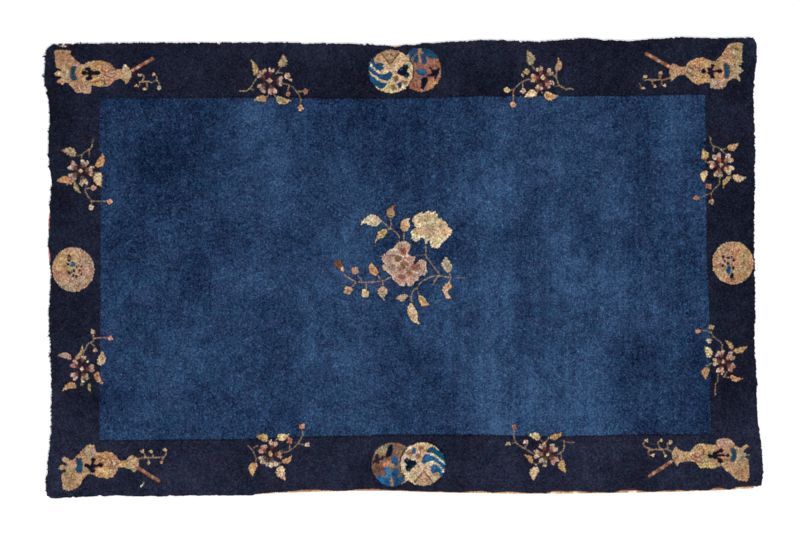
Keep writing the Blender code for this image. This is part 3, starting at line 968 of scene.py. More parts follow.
# The pairs of discs: a disc behind of each pair's own, and the cream disc that both share
UPPER_DISC = Disc(
    middle=(1040, 548), size=(620, 686), ground=SALMON,
    washes=(
        ((1040, 490), (260, 120), SALMON), ((1210, 420), (220, 160), ROSE),
        ((930, 720), (220, 300), blend(ROSE, BROWN, 0.3)),
        ((1210, 780), (260, 220), blend(ORANGE, BROWN, 0.15)), ((1330, 600), (60, 120), CORAL),
        ((1010, 340), (180, 180), blend(ORANGE, RUST, 0.4)),
    ),
    shapes=(
        (
            (
                (815, 370), (835, 270), (905, 215), (984, 205), (996, 264), (940, 306), (900, 356),
                (860, 392),
            ),
            BLUE,
        ),
        (
            (
                (1026, 214), (1080, 208), (1172, 230), (1252, 285), (1300, 366), (1205, 368), (1133, 345),
                (1080, 288),
            ),
            blend(TEAL, BLUE, 0.35),
        ),
        (((934, 342), (976, 295), (994, 321), (998, 406), (976, 452), (934, 428), (917, 381)), BLUE),
        (
            ((1022, 304), (1076, 292), (1108, 335), (1130, 413), (1108, 456), (1062, 452), (1041, 385)),
            BLUE,
        ),
        (
            (
                (955, 556), (995, 522), (1080, 522), (1122, 563), (1132, 615), (1076, 642), (1015, 632),
                (970, 594),
            ),
            blend(TEAL, BRIGHT_BLUE, 0.3),
        ),
        (
            ((975, 540), (1040, 520), (1095, 540), (1100, 572), (1030, 582)),
            blend(BRIGHT_BLUE, MAUVE, 0.35),
        ),
        (
            (
                (1165, 500), (1195, 500), (1215, 540), (1290, 530), (1340, 512), (1310, 590), (1270, 690),
                (1240, 680), (1245, 645), (1180, 655), (1120, 640), (1190, 600), (1205, 570),
            ),
            INK,
        ),
        (
            ((1040, 690), (1090, 655), (1140, 660), (1145, 710), (1110, 790), (1070, 860), (1030, 820)),
            INK,
        ),
    ),
    stem=((1000, 270), (1006, 340), (1012, 400)), knob=(1008, 236),
)

LOWER_DISC = Disc(
    middle=(1026, 566), size=(684, 682), ground=blend(MAUVE, BROWN, 0.5),
    washes=(
        ((1214, 790), (240, 230), blend(OLIVE, PINK, 0.35)), ((1271, 484), (230, 190), BROWN),
        ((1100, 569), (220, 160), blend(TAN, ORANGE, 0.4)),
        ((943, 726), (130, 320), blend(TAN, BROWN, 0.45)),
        ((1179, 440), (90, 120), blend(PINK, ROSE, 0.5)),
    ),
    shapes=(
        (
            (
                (1114, 840), (1072, 883), (1036, 869), (1029, 812), (1057, 712), (1093, 681), (1150, 676),
                (1207, 669), (1207, 690), (1150, 705), (1129, 769),
            ),
            INK,
        ),
        (
            (
                (1307, 719), (1271, 740), (1254, 676), (1193, 662), (1179, 633), (1243, 619), (1236, 581),
                (1314, 581), (1350, 562), (1357, 612), (1321, 641),
            ),
            MAROON,
        ),
        (
            ((1065, 652), (1015, 690), (972, 681), (949, 612), (960, 555), (1008, 552), (1057, 598)),
            BRIGHT_BLUE,
        ),
        (
            ((1178, 500), (1114, 520), (1062, 458), (1054, 366), (1086, 318), (1132, 338), (1158, 413)),
            blend(BRIGHT_BLUE, IVORY, 0.15),
        ),
        (((1046, 458), (1000, 510), (948, 490), (935, 427), (980, 350), (1032, 316), (1050, 384)), BLUE),
        (
            ((1290, 400), (1214, 385), (1143, 342), (1066, 305), (1054, 226), (1150, 236), (1240, 296)),
            BRIGHT_BLUE,
        ),
        (((1036, 226), (1020, 312), (943, 362), (850, 400), (820, 356), (890, 274), (972, 230)), BLUE),
    ),
    stem=((1055, 350), (1050, 300), (1045, 250)), knob=(1045, 244),
)

CREAM_DISC = ((565, 570), (690, 680))

CREAM_DISC_DROP = ((700, 785), (70, 100))

CREAM_DISC_WEDGE_LINES = (((413, 292), (480, 375), (549, 463)), ((691, 278), (630, 360), (570, 442)))

CREAM_DISC_WASHES = (
    ((350, 350), (260, 260), blend(TAN, CREAM, 0.3)), ((560, 840), (300, 160), YELLOW),
    ((640, 560), (160, 200), blend(CREAM, PINK, 0.4)),
    ((780, 340), (180, 160), blend(CREAM, YELLOW, 0.4)),
)

CREAM_DISC_WEDGE = (
    (413, 285), (470, 245), (560, 232), (640, 242), (691, 275), (630, 360), (560, 455), (480, 375),
)

CREAM_DISC_SHAPES = (
    (
        (
            (268, 362), (306, 405), (323, 448), (385, 428), (444, 456), (456, 513), (405, 556),
            (340, 553), (288, 503), (262, 445), (250, 400),
        ),
        BLUE,
    ),
    (
        (
            (212, 490), (250, 500), (320, 570), (400, 620), (490, 605), (545, 570), (582, 620),
            (560, 690), (490, 722), (400, 690), (300, 625), (222, 555),
        ),
        BLUE,
    ),
    (
        (
            (218, 580), (262, 635), (340, 692), (400, 728), (500, 755), (480, 800), (440, 832),
            (385, 832), (310, 785), (240, 710),
        ),
        blend(TEAL, BLUE, 0.5),
    ),
    (
        (
            (658, 565), (690, 528), (735, 500), (772, 455), (825, 465), (840, 525), (812, 562),
            (858, 610), (835, 660), (795, 662), (755, 640), (700, 632), (664, 605),
        ),
        INK,
    ),
)

CREAM_DISC_WAVES = (
    ((232, 430), (265, 480), (325, 540), (390, 582), (450, 592)),
    ((220, 570), (270, 620), (340, 690), (420, 738), (500, 745)), ((390, 600), (440, 590), (495, 592)),
)

CREAM_DISC_NUTS = (((640, 690), (95, 100)), ((600, 818), (95, 85)), ((775, 740), (110, 68)))

CREAM_DISC_MARKS = (
    ((770, 825), (60, 55), IVORY), ((725, 540), (55, 35), TEAL), ((780, 485), (45, 30), TEAL),
    ((805, 635), (45, 30), BLUE), ((448, 490), (22, 38), IVORY),
)

# The medallions
LEFT_MEDALLION_MARKS = (
    ((725, 635), (125, 140), blend(BLUE, MAUVE, 0.25)), ((634, 470), (90, 150), MAROON),
    ((634, 480), (35, 70), MAUVE), ((600, 640), (60, 70), INK), ((634, 855), (60, 100), MAROON),
    ((739, 930), (50, 85), MAROON), ((814, 955), (65, 80), UMBER), ((754, 801), (65, 50), INK),
    ((829, 704), (60, 55), INK), ((904, 794), (60, 60), UMBER), ((949, 704), (55, 60), UMBER),
    ((955, 890), (60, 75), UMBER), ((700, 840), (45, 60), UMBER),
)

RIGHT_MEDALLION_MARKS = (
    ((480, 570), (65, 80), MAROON), ((620, 600), (85, 65), MAROON), ((700, 570), (50, 60), MAROON),
    ((525, 680), (60, 60), MAROON), ((750, 660), (70, 70), MAROON), ((605, 740), (70, 60), MAROON),
    ((465, 810), (55, 80), MAROON), ((735, 850), (70, 90), INK), ((760, 790), (100, 55), CORAL),
    ((620, 910), (110, 200), BLUE), ((710, 1070), (90, 140), INK), ((730, 1160), (90, 60), BROWN),
)

LEFT_GROUND = blend(blend(TAN, PINK, 0.45), MAUVE, 0.15)

MEDALLIONS = (
    Medallion(
        (45, 240, 26.13), (735, 770), (1104, 1164), LEFT_GROUND, blend(LEFT_GROUND, CREAM, 0.3),
        (((560, 560), (760, 700), blend(GOLD, TAN, 0.4), 0.75), ((900, 1050), (500, 400), PINK, 0.5)),
        LEFT_MEDALLION_MARKS,
    ),
    Medallion(
        (705, 235, 26.13), (732, 727), (1080, 1120), TAN, blend(TAN, CREAM, 0.35),
        (
            ((1000, 400), (420, 340), ORANGE, 0.5), ((960, 1080), (420, 260), ORANGE, 0.5),
            ((540, 680), (560, 520), PINK, 0.6),
        ),
        RIGHT_MEDALLION_MARKS,
    ),
)


def as_colour(yarn):
    return np.array(yarn, dtype=float) / 255


def to_linear(colour):
    """Screen colours from 0 to 1 as linear light."""
    return np.where(colour <= 0.04045, colour / 12.92, ((colour + 0.055) / 1.055) ** 2.4)


def patches(x, y, size, seed):
    """Soft random values from 0 to 1 that change over about the given size, across and down."""
    count = 256
    table = np.random.default_rng(seed).random((count, count))
    across, down = x / size[0], y / size[1]
    column, row = np.floor(across).astype(int), np.floor(down).astype(int)
    u, v = across - column, down - row
    u, v = u * u * (3 - 2 * u), v * v * (3 - 2 * v)
    left, right, top, bottom = column % count, (column + 1) % count, row % count, (row + 1) % count
    upper = table[top, left] * (1 - u) + table[top, right] * u
    lower = table[bottom, left] * (1 - u) + table[bottom, right] * u
    return upper * (1 - v) + lower * v


def uneven(x, y, size, seed):
    """As patches, but from -0.5 to 0.5."""
    return patches(x, y, size, seed) - 0.5


def along_one(x, size, seed):
    """Soft random values from 0 to 1 along one line."""
    return patches(x, x * 0, (size, 1), seed)


def from_ends(count):
    """The steps from each place of a row to the nearer end of the row."""
    steps = np.arange(count)
    return np.minimum(steps, steps[::-1])


def smooth(points, closed=False, steps=5):
    """A smooth curve through the points."""
    points = np.array(points, dtype=float)
    if closed:
        before, start, end, after = (np.roll(points, shift, 0) for shift in (1, 0, -1, -2))
    else:
        if len(points) < 3:
            return points
        padded = np.vstack([2 * points[0] - points[1], points, 2 * points[-1] - points[-2]])
        before, start, end, after = padded[:-3], padded[1:-2], padded[2:-1], padded[3:]
    before, start, end, after = (part[:, None, :] for part in (before, start, end, after))
    share = (np.arange(steps) / steps)[None, :, None]
    curve = start + (end - before) * share / 2
    curve = curve + (2 * before - 5 * start + 4 * end - after) * share**2 / 2
    curve = curve + (3 * start - before - 3 * end + after) * share**3 / 2
    curve = curve.reshape(-1, 2)
    return curve if closed else np.vstack([curve, points[-1]])


def distance_to(x, y, line):
    """How far each place is from a line of points."""
    starts, runs = line[:-1], np.diff(line, axis=0)
    from_x, from_y = x[:, None] - starts[:, 0], y[:, None] - starts[:, 1]
    share = (from_x * runs[:, 0] + from_y * runs[:, 1]) / ((runs**2).sum(1) + 1e-9)
    share = np.clip(share, 0, 1)
    away = np.hypot(from_x - share * runs[:, 0], from_y - share * runs[:, 1])
    return away.min(1)


def inside(x, y, outline):
    """Which places lie inside a closed outline."""
    start_x, start_y = outline[:, 0], outline[:, 1]
    end_x, end_y = np.roll(start_x, -1), np.roll(start_y, -1)
    crosses = (start_y > y[:, None]) != (end_y > y[:, None])
    rise = np.where(end_y == start_y, 1e-9, end_y - start_y)
    where = start_x + (end_x - start_x) * (y[:, None] - start_y) / rise
    return (crosses & (x[:, None] < where)).sum(1) % 2 == 1


def oval(middle, size, turn=0.0, scallops=0, depth=0.14):
    """An oval, turned or with a scalloped edge."""
    angles = np.linspace(0, 2 * math.pi, max(20, scallops * 5), endpoint=False)
    reach = 1 + depth * (np.abs(np.cos(scallops * angles / 2 + turn)) - 0.6) if scallops else 1
    x = size[0] / 2 * reach * np.cos(angles)
    y = size[1] / 2 * reach * np.sin(angles)
    if not scallops:
        x, y = x * math.cos(turn) - y * math.sin(turn), x * math.sin(turn) + y * math.cos(turn)
    return np.array(middle) + np.column_stack([x, y])


def spaced(line, count):
    """The line as count steps of equal length."""
    lengths = np.concatenate([[0], np.cumsum(np.hypot(*np.diff(line, axis=0).T))])
    places = np.linspace(0, lengths[-1], count + 1)
    return np.column_stack([np.interp(places, lengths, line[:, axis]) for axis in (0, 1)])


def toothed(outline, pitch=1.6, depth=0.7):
    """A closed outline with small teeth along it."""
    closed = np.vstack([outline, outline[:1]])
    length = np.hypot(*np.diff(closed, axis=0).T).sum()
    count = 4 * int(length / pitch)
    line = spaced(closed, count)[:-1]
    heading = np.roll(line, -1, 0) - np.roll(line, 1, 0)
    across = np.column_stack([heading[:, 1], -heading[:, 0]]) / np.hypot(*heading.T)[:, None]
    return line + across * (depth * (np.arange(count) % 4 < 2) - depth / 2)[:, None]


class Chart:
    """The yarn of each knot, with drawing tools that change it. Sizes are in squares."""

    def __init__(self, x, y):
        self.order = np.argsort(x)
        self.x = x[self.order]
        self.y = y[self.order]
        self.colour = np.zeros((len(x), 3))
        self.rise = np.zeros((len(x), 3))
        self.tied = np.zeros(len(x), dtype=bool)

    def around(self, line, margin):
        """The knots in the box round a line of points."""
        low, high = line.min(0) - margin, line.max(0) + margin
        first, last = np.searchsorted(self.x, (low[0], high[0]))
        knots = np.arange(first, last)
        return knots[(self.y[knots] > low[1]) & (self.y[knots] < high[1])]

    def tie(self, knots, yarn, strength=1.0):
        """Gives the knots another yarn, or so much of its colour as the strength says."""
        strength = np.reshape(strength, (-1, 1))
        self.colour[knots] += (as_colour(yarn) - self.colour[knots]) * strength

    def stroke(self, route, width, yarn, strength=1.0, curved=True):
        line = smooth(route) if curved else np.array(route, dtype=float)
        knots = self.around(line, width)
        away = distance_to(self.x[knots], self.y[knots], line)
        share = np.clip((width / 2 + SOFT_EDGE / 2 - away) / SOFT_EDGE, 0, 1) * strength
        self.tie(knots, yarn, share)
        self.tied[knots[share > 0.5]] = True

    def patch(self, outline, yarn, edge=None, rim=INK, rim_width=RIM_WIDTH, rim_strength=RIM_STRENGTH):
        """Fills an outline with one yarn, in another near its edge, with a dark rim outside it."""
        outline = np.asarray(outline, dtype=float)
        knots = self.around(outline, rim_width + SOFT_EDGE)
        x, y = self.x[knots], self.y[knots]
        away = distance_to(x, y, np.vstack([outline, outline[:1]]))
        within = inside(x, y, outline)
        self.tie(knots[~within & (away < rim_width)], rim, rim_strength)
        filled = knots[within]
        self.tie(filled, yarn)
        if edge is not None:
            self.tie(filled, edge, np.clip(EDGE_YARN_WIDTH - away[within], 0, 1) * EDGE_YARN_STRENGTH)
        self.tied[filled] = True

    def wash(self, middle, half, yarn, strength):
        """A soft-edged oval of another yarn, on knots that a motif has already taken."""
        knots = self.around(np.array([middle - half, middle + half]), 0)
        knots = knots[self.tied[knots]]
        x, y = (self.x[knots] - middle[0]) / half[0], (self.y[knots] - middle[1]) / half[1]
        self.tie(knots, yarn, np.clip(WASH_FIRMNESS * (1 - (x**2 + y**2)), 0, 1) * strength)

    def leaf(self, base, tip, width, yarn, edge, bow, teeth):
        """A pointed leaf in one yarn with its edge in another, with a faint rib and perhaps saw teeth."""
        run = np.subtract(tip, base)
        length = np.hypot(*run)
        across = np.array((-run[1], run[0])) / length
        along = np.linspace(0, 1, 30)
        swell = 1.3 * along**0.5 * (1 - along) ** 1.05 * width
        bend = 4 * along * (1 - along) * bow - 0.35 * bow * along**6
        spine = np.array(base) + along[:, None] * run + (bend * length)[:, None] * across
        saw = 1.1 - 0.26 * (along * teeth % 1) if teeth else 1
        one, other = (spine + side * (swell * saw)[:, None] * across for side in (1, -1))
        self.stroke(spine[18:], 0.7, edge, 0.8, curved=False)
        self.patch(np.vstack([one, other[::-1]]), yarn, edge)
        self.stroke(spine[3:-12], 0.6, blend(yarn, UMBER, 0.6), 0.45, curved=False)


class Sketch:
    """A motif's own sheet, with its upper left corner on the chart and its units to one chart square."""

    def __init__(self, chart, left, top, units, turned=False):
        self.chart = chart
        self.corner = np.array((left, top))
        self.units = units
        self.turned = turned

    def at(self, points):
        places = np.array(points, dtype=float) / self.units + self.corner
        return DISC_TURN - places if self.turned else places

    def outline(self, points):
        return smooth(self.at(points), closed=True, steps=4)

    def stroke(self, route, width, yarn, strength=1.0):
        self.chart.stroke(self.at(route), width / self.units, yarn, strength)

    def patch(self, points, yarn, edge=None, **rim):
        self.chart.patch(self.outline(points), yarn, edge, **rim)

    def toothed_patch(self, points, yarn, edge):
        self.chart.patch(toothed(self.outline(points)), yarn, edge)

    def spot(self, middle, size, yarn, edge=None, turn=0.0, scallops=0, depth=0.14, **rim):
        self.chart.patch(self.at(oval(middle, size, turn, scallops, depth)), yarn, edge, **rim)

    def spots(self, spots, growth=1.0, **form):
        """Spots without a rim, each (middle, size, yarn)."""
        for middle, size, yarn in spots:
            self.spot(middle, np.array(size) * growth, yarn, rim_strength=0, **form)

    def wash(self, middle, size, yarn, strength=WASH_STRENGTH):
        self.chart.wash(self.at(middle), np.array(size) / 2 / self.units, yarn, strength)

    def washes(self, washes, strength=WASH_STRENGTH):
        for wash in washes:
            self.wash(*wash, strength)

    def leaf(self, leaf):
        base, tip, width = self.at(leaf.base), self.at(leaf.tip), leaf.width / self.units
        self.chart.leaf(base, tip, width, leaf.yarn, leaf.edge, leaf.bow, leaf.teeth)

    def petal(self, middle, size, yarn, heart):
        """A cleft petal with a pale edge, narrower and browner towards the flower's heart."""
        outward = np.array(middle, dtype=float) - heart
        outward /= np.hypot(*outward)
        across = np.array((-outward[1], outward[0]))
        reach = 1.05 * sum(size) / 2
        outline = [middle + reach * (u * outward + v * across) for u, v in PETAL_OUTLINE]
        yarn = blend(yarn, PINK, 0.5)
        self.patch(outline, yarn, blend(yarn, IVORY, 0.45), rim=MAROON)
        self.wash(middle - outward * reach * 0.3, (reach * 0.7, reach * 0.7), blend(BROWN, MAROON, 0.35), 0.9)
        self.stroke([middle - outward * reach * 0.2, middle + outward * reach * 0.3], reach * 0.12, ROSE, 0.4)

    def bud(self, middle, size, yarn):
        """A small lobed bud, redder inside."""
        size = np.array(size) * 0.95
        self.spot(middle, size, yarn, blend(yarn, IVORY, 0.3), turn=middle[1] * 0.01, scallops=4, depth=0.3)
        self.wash(np.array(middle) + size * (0.05, 0.1), size * 0.6, blend(yarn, RUST, 0.35), 0.7)


def draw_ground(chart):
    """Navy border, blue field with bands of dye lots and painted shade, fine streaks and a dark line round
    it.
    """
    x, y = chart.x, chart.y
    border = as_colour(BORDER_NAVY) + BORDER_RISE * np.interp(y, *BORDER_GLOW)[:, None]
    # The field's lightness in bands: partly dye lots, partly painted shade of the pile
    places, upper, lower = np.array(DYE_AND_SHADE_BANDS).T
    first, last = DYE_AND_SHADE_ROWS
    share = np.clip((y - first) / (last - first), *DYE_AND_SHADE_REACH)
    lightness = np.interp(x, places, upper) * (1 - share) + np.interp(x, places, lower) * share
    ribs, streaks = (part * uneven(x, y, size, seed) for size, seed, part in (RIBS, STREAKS))
    lightness = lightness + np.clip((x - RIBS_FROM) / RIBS_GROW, RIBS_LEAST, 1) * ribs + streaks
    field = as_colour(FIELD_BLUE) + FIELD_RISE * (lightness - MIDDLE_LIGHTNESS)[:, None]
    within = inside(x, y, FIELD_EDGE)[:, None]
    chart.colour = np.where(within, field, border)
    chart.rise = np.where(within, FIELD_RISE, BORDER_RISE)
    for side, out in ((FIELD_UPPER, -0.8), (FIELD_LOWER, 0.8)):
        chart.stroke(np.array(side) + (0, out), 1.8, INK, 0.6, curved=False)
    chart.tied[:] = False


def draw_spray(chart, spray):
    """A flower of single petals with its stems, leaves and buds."""
    sketch = Sketch(chart, spray.left, spray.top, spray.units)
    for route in spray.stems:
        sketch.stroke(route, 0.95 * spray.units, blend(TAN, OLIVE, 0.5), 0.88)
    for leaf in spray.leaves:
        sketch.leaf(leaf)
    heart, size, yarn = spray.heart
    spread = np.ptp(np.array([petal[0] for petal in spray.petals]), axis=0)
    sketch.spot(heart, spread * 0.72, blend(MAROON, INK, 0.3), rim_strength=0.2)
    for petal in spray.petals:
        sketch.petal(*petal, heart)
    sketch.spots(spray.marks)
    sketch.spot(heart, np.array(size) * 0.75, blend(yarn, PINK_CREAM, 0.4), scallops=4, depth=0.4, rim=MAROON)
    for bud in spray.buds:
        sketch.bud(*bud)


def draw_middle_spray(chart):
    """Two peonies, one cream and one pink, on a branch across the field."""
    sketch = Sketch(chart, *MIDDLE_SKETCH)
    for route in MIDDLE_STEMS:
        sketch.stroke(route, 28, INK, 0.35)
        sketch.stroke(route, 11, blend(PINK_CREAM, OLIVE, 0.4), 0.85)
    for route in THIN_MIDDLE_STEMS:
        sketch.stroke(route, 8, blend(TAN, BROWN, 0.4), 0.7)
    for points, yarn, edge in MIDDLE_LEAVES:
        sketch.patch(points, yarn, edge)
    for bud in MIDDLE_BUDS:
        sketch.bud(*bud)
    sketch.washes(MIDDLE_WASHES)
    sketch.toothed_patch(PINK_PEONY, PINK, blend(PINK, IVORY, 0.6))
    sketch.washes(PINK_PEONY_WASHES)
    for route in PINK_PEONY_VEINS:
        sketch.stroke(route, 10, blend(PINK_CREAM, IVORY, 0.6), 0.75)
    sketch.toothed_patch(CREAM_PEONY, blend(CREAM, PINK_CREAM, 0.15), IVORY)
    sketch.washes(CREAM_PEONY_WASHES, 0.75)
    for route in CREAM_PEONY_VEINS:
        sketch.stroke(route, 8, BROWN, 0.35)


def draw_vase(chart, vase):
    """A vase on its side with a dark flower on its belly, a banded rod at its mouth and a curling sprig."""
    sketch = Sketch(chart, vase.left, vase.top, vase.units)
    fine_line = 1.2 * vase.units
    sketch.patch(vase.outline, TAN, blend(TAN, CREAM, 0.3))
    sketch.washes(vase.washes)
    for middle, size in vase.lozenges:
        sketch.spot(middle, size, blend(PINK_CREAM, ORANGE, 0.3), blend(ROSE, BROWN, 0.3), rim_strength=0)
    for route in vase.lines:
        sketch.stroke(route, fine_line, blend(BROWN, RUST, 0.4), 0.9)
    sketch.patch(vase.bar, TEAL, BLUE)
    for middle, size in vase.flower:
        sketch.spot(middle, size, INK, blend(INK, MAROON, 0.5), rim_strength=0)
    sketch.spots(vase.marks)
    sketch.stroke(vase.rod, 3.2 * vase.units, blend(RUST, TAN, 0.25))
    for middle, size in vase.bands:
        sketch.wash(middle, size, blend(CREAM, PINK, 0.5), 0.7)
    for route in vase.sprig:
        sketch.stroke(route, fine_line, blend(TAN, OLIVE, 0.4), 0.9)
    for middle, size in vase.sprig_buds:
        size = np.array(size) * 0.8
        sketch.spot(middle, size, blend(PINK_CREAM, YELLOW, 0.35), turn=middle[0], scallops=3, depth=0.4)


def draw_discs(chart, turned):
    """A cream disc that overlaps a salmon or brown one, each with waves and petals in blue."""
    sketch = Sketch(chart, *DISC_SKETCH, turned)
    disc = LOWER_DISC if turned else UPPER_DISC
    sketch.spot(disc.middle, disc.size, disc.ground, blend(disc.ground, TAN, 0.5))
    sketch.washes(disc.washes)
    for points, yarn in disc.shapes:
        sketch.patch(points, yarn, blend(yarn, TEAL, 0.3), rim_strength=0)
    sketch.stroke(disc.stem, 14, GOLD, 0.9)
    sketch.spot(disc.knob, (56, 50), GOLD, rim_strength=0)

    ground = blend(CREAM, PINK_CREAM if turned else TAN, 0.4)
    blue, nut = (BRIGHT_BLUE, SALMON) if turned else (BLUE, blend(BROWN, OLIVE, 0.25))
    sketch.spot(*CREAM_DISC, ground, CREAM, rim_width=1.2, rim_strength=0.7)
    sketch.washes(CREAM_DISC_WASHES)
    sketch.patch(CREAM_DISC_WEDGE, blend(ground, BROWN, 0.3), rim_strength=0)
    for route in CREAM_DISC_WEDGE_LINES:
        sketch.stroke(route, 22, blend(BROWN, UMBER, 0.3), 0.95)
    for points, yarn in CREAM_DISC_SHAPES:
        sketch.patch(points, blue if yarn is BLUE else yarn, blend(yarn, TEAL, 0.35), rim_strength=0)
    for route in CREAM_DISC_WAVES:
        sketch.stroke(route, 9, IVORY)
    for middle, size in CREAM_DISC_NUTS:
        sketch.spot(middle, size, nut, blend(nut, CREAM, 0.35), rim_strength=0)
    sketch.spot(*CREAM_DISC_DROP, blue, rim_strength=0)
    sketch.spots(CREAM_DISC_MARKS, scallops=3)


def draw_medallion(chart, medallion):
    """A round medallion with small marks."""
    sketch = Sketch(chart, *medallion.sketch)
    middle, size, ground, edge = medallion.middle, medallion.size, medallion.ground, medallion.edge
    sketch.spot(middle, size, ground, edge, rim_width=1.4, rim_strength=0.6)
    for wash in medallion.washes:
        sketch.wash(*wash)
    sketch.spots(medallion.marks, growth=1.2)


def draw_pattern(chart):
    draw_ground(chart)
    for spray in SPRAYS:
        draw_spray(chart, spray)
    draw_middle_spray(chart)
    for vase in VASES:
        draw_vase(chart, vase)
    for turned in (False, True):
        draw_discs(chart, turned)
    for medallion in MEDALLIONS:
        draw_medallion(chart, medallion)
    chart.stroke(PALE_THREAD, 0.9, IVORY)


def heather(chart):
    """Faded motifs, uneven dye and wear, and knots that stand lighter or darker than their neighbours."""
    rng = np.random.default_rng(11)
    x, y, tied = chart.x, chart.y, chart.tied[:, None]
    knot = rng.normal(0, 1, len(x))
    dark = rng.random(len(x)) < DARK_KNOTS
    sizes, seeds, shares = zip(SMALL_PATCHES, WORN_PATCHES, BROAD_PATCHES)
    small, worn, broad = (uneven(x, y, size, seed) for size, seed in zip(sizes, seeds))
    # The ground's knot-to-knot tone is partly the wool's own and partly painted shade and sheen of single
    # tufts
    tone = KNOT_SHARE * knot + shares[0] * small + shares[1] * worn + shares[2] * broad
    redder = sum(share * uneven(x, y, size, seed) for size, seed, share in RED_PATCHES)[:, None] * REDDER
    ground = chart.colour + chart.rise * tone[:, None] + redder
    motif_tone = MOTIF_TONE + MOTIF_KNOT_SHARE * knot + MOTIF_SMALL_SHARE * small + MOTIF_WORN_SHARE * worn
    motif_tone = np.maximum(motif_tone - DARK_BY * dark, LEAST_MOTIF_TONE)[:, None] ** WORN_WARMTH
    motif = chart.colour * MOTIF_FADE * motif_tone + MOTIF_REDDER * redder
    chart.colour = np.clip(np.where(tied, motif, ground), DARKEST, 1)


def on_chart(places):
    """Places on the rug, in metres from its middle, as places on the chart."""
    return CHART_MIDDLE + places * (1, -1) / SQUARE


def knot_colours(places):
    """The linear colour of a knot at each place on the rug."""
    rng = np.random.default_rng(5)
    squares = on_chart(places) + rng.normal(0, KNOT_STRAY, places.shape)
    chart = Chart(squares[:, 0], squares[:, 1])
    draw_pattern(chart)
    heather(chart)
    colour = np.empty_like(chart.colour)
    colour[chart.order] = chart.colour
    return to_linear(colour)


def ring_at(node, height):
    """The closed line round a CAD node's wall at one height, as points in order."""
    neighbours = {}
    corners = [tuple(round(value, 5) for value in vertex.co) for vertex in node.data.vertices]
    for face in node.data.polygons:
        level = [corners[index] for index in face.vertices if abs(corners[index][2] - height) < 0.1 * MM]
        if len(level) == 2:
            neighbours.setdefault(level[0], set()).add(level[1])
            neighbours.setdefault(level[1], set()).add(level[0])
    start = min(neighbours)
    ring, last = [start], None
    while True:
        following = [point for point in neighbours[ring[-1]] if point != last]
        last = ring[-1]
        if following[0] == start and len(ring) > 2:
            return np.array(ring)[:, :2]
        ring.append(following[0])


def sides_of(ring):
    """The ring's upper, right, lower and left sides, each from left to right or downwards."""
    if np.sum(ring[:, 0] * np.roll(ring[:, 1], -1) - ring[:, 1] * np.roll(ring[:, 0], -1)) > 0:
        ring = ring[::-1]
    corners = [int(np.argmax(ring @ np.array(way))) for way in ((-1, 1), (1, 1), (1, -1), (-1, -1))]
    sides = []
    for start, end in zip(corners, corners[1:] + corners[:1]):
        count = (end - start) % len(ring) + 1
        sides.append(ring[(start + np.arange(count)) % len(ring)])
    upper, right, lower, left = sides
    return upper, right, lower[::-1], left[::-1]


def calmed(line, reach):
    """The line without its small waves, with its ends kept."""
    steps = np.arange(-reach, reach + 1)
    weights = np.exp(-((steps / (reach / 2)) ** 2))
    weights /= weights.sum()
    before = 2 * line[0] - line[reach:0:-1]
    after = 2 * line[-1] - line[-2 : -reach - 2 : -1]
    padded = np.vstack([before, line, after])
    return np.column_stack([np.convolve(padded[:, axis], weights, mode="valid") for axis in (0, 1)])


def fitted_grid(ring, columns, rows, calm_reach=20, fade=25 * MM):
    """A grid of rows from the upper side down that meets the ring and is even away from it."""
    sides = [spaced(side, count) for side, count in zip(sides_of(ring), (columns, rows, columns, rows))]
    upper, right, lower, left = sides
    calm_upper, calm_right, calm_lower, calm_left = (calmed(side, calm_reach) for side in sides)
    u = np.linspace(0, 1, columns + 1)[None, :, None]
    v = np.linspace(0, 1, rows + 1)[:, None, None]
    grid = (1 - v) * calm_upper[None] + v * calm_lower[None]
    grid = grid + (1 - u) * calm_left[:, None] + u * calm_right[:, None]
    grid = grid - (1 - u) * (1 - v) * upper[0] - u * (1 - v) * upper[-1]
    grid = grid - (1 - u) * v * lower[0] - u * v * lower[-1]

    def near(share, reach):
        return np.exp(-((share * reach / fade) ** 2))

    grid = grid + (upper - calm_upper)[None] * near(v, CLOTH_WIDTH)
    grid = grid + (lower - calm_lower)[None] * near(1 - v, CLOTH_WIDTH)
    grid = grid + (left - calm_left)[:, None] * near(u, CLOTH_LENGTH)
    return grid + (right - calm_right)[:, None] * near(1 - u, CLOTH_LENGTH)


def lengths_of(ways):
    return np.hypot(*np.moveaxis(ways, -1, 0))


def edge_depth(grid):
    """How far each grid place lies in from the nearest side."""
    sides = (grid[:1], grid[-1:], grid[:, :1], grid[:, -1:])
    return np.min([lengths_of(grid - side) for side in sides], axis=0)


def cell_middles(grid):
    """The mean of the four corners of each cell."""
    return (grid[:-1, :-1] + grid[1:, :-1] + grid[:-1, 1:] + grid[1:, 1:]) / 4


def pile_height(places, depth):
    """The pile's height: rounded at its lip, and lower along the line carved round the field."""
    insets, heights = np.array(LIP_PROFILE).T * MM
    height = np.interp(depth, insets, heights)
    squares = on_chart(places.reshape(-1, 2))
    near = np.abs(squares - CHART_MIDDLE).max(1) > GROOVE_BEYOND
    away = np.full(len(squares), np.inf)
    away[near] = distance_to(squares[near, 0], squares[near, 1], FIELD_EDGE)
    groove = np.clip(1 - away / GROOVE_REACH, 0, 1).reshape(depth.shape)
    return height - GROOVE_DEPTH * groove


def new_piece(name, vertices, faces, colours, material):
    mesh = bpy.data.meshes.new(name)
    mesh.from_pydata(vertices, [], faces)
    mesh.update()
    layer = mesh.color_attributes.new("yarn", "FLOAT_COLOR", "POINT")
    layer.data.foreach_set("color", np.column_stack([colours, np.ones(len(colours))]).ravel())
    mesh.materials.append(material)
    piece = bpy.data.objects.new(name, mesh)
    bpy.context.collection.objects.link(piece)
    return piece


def reach_of(along, start, end):
    """1 between two squares and 0 beyond them, with soft ends."""
    return np.clip(np.minimum(along - start, end - along) / 2 + 0.5, 0, 1)


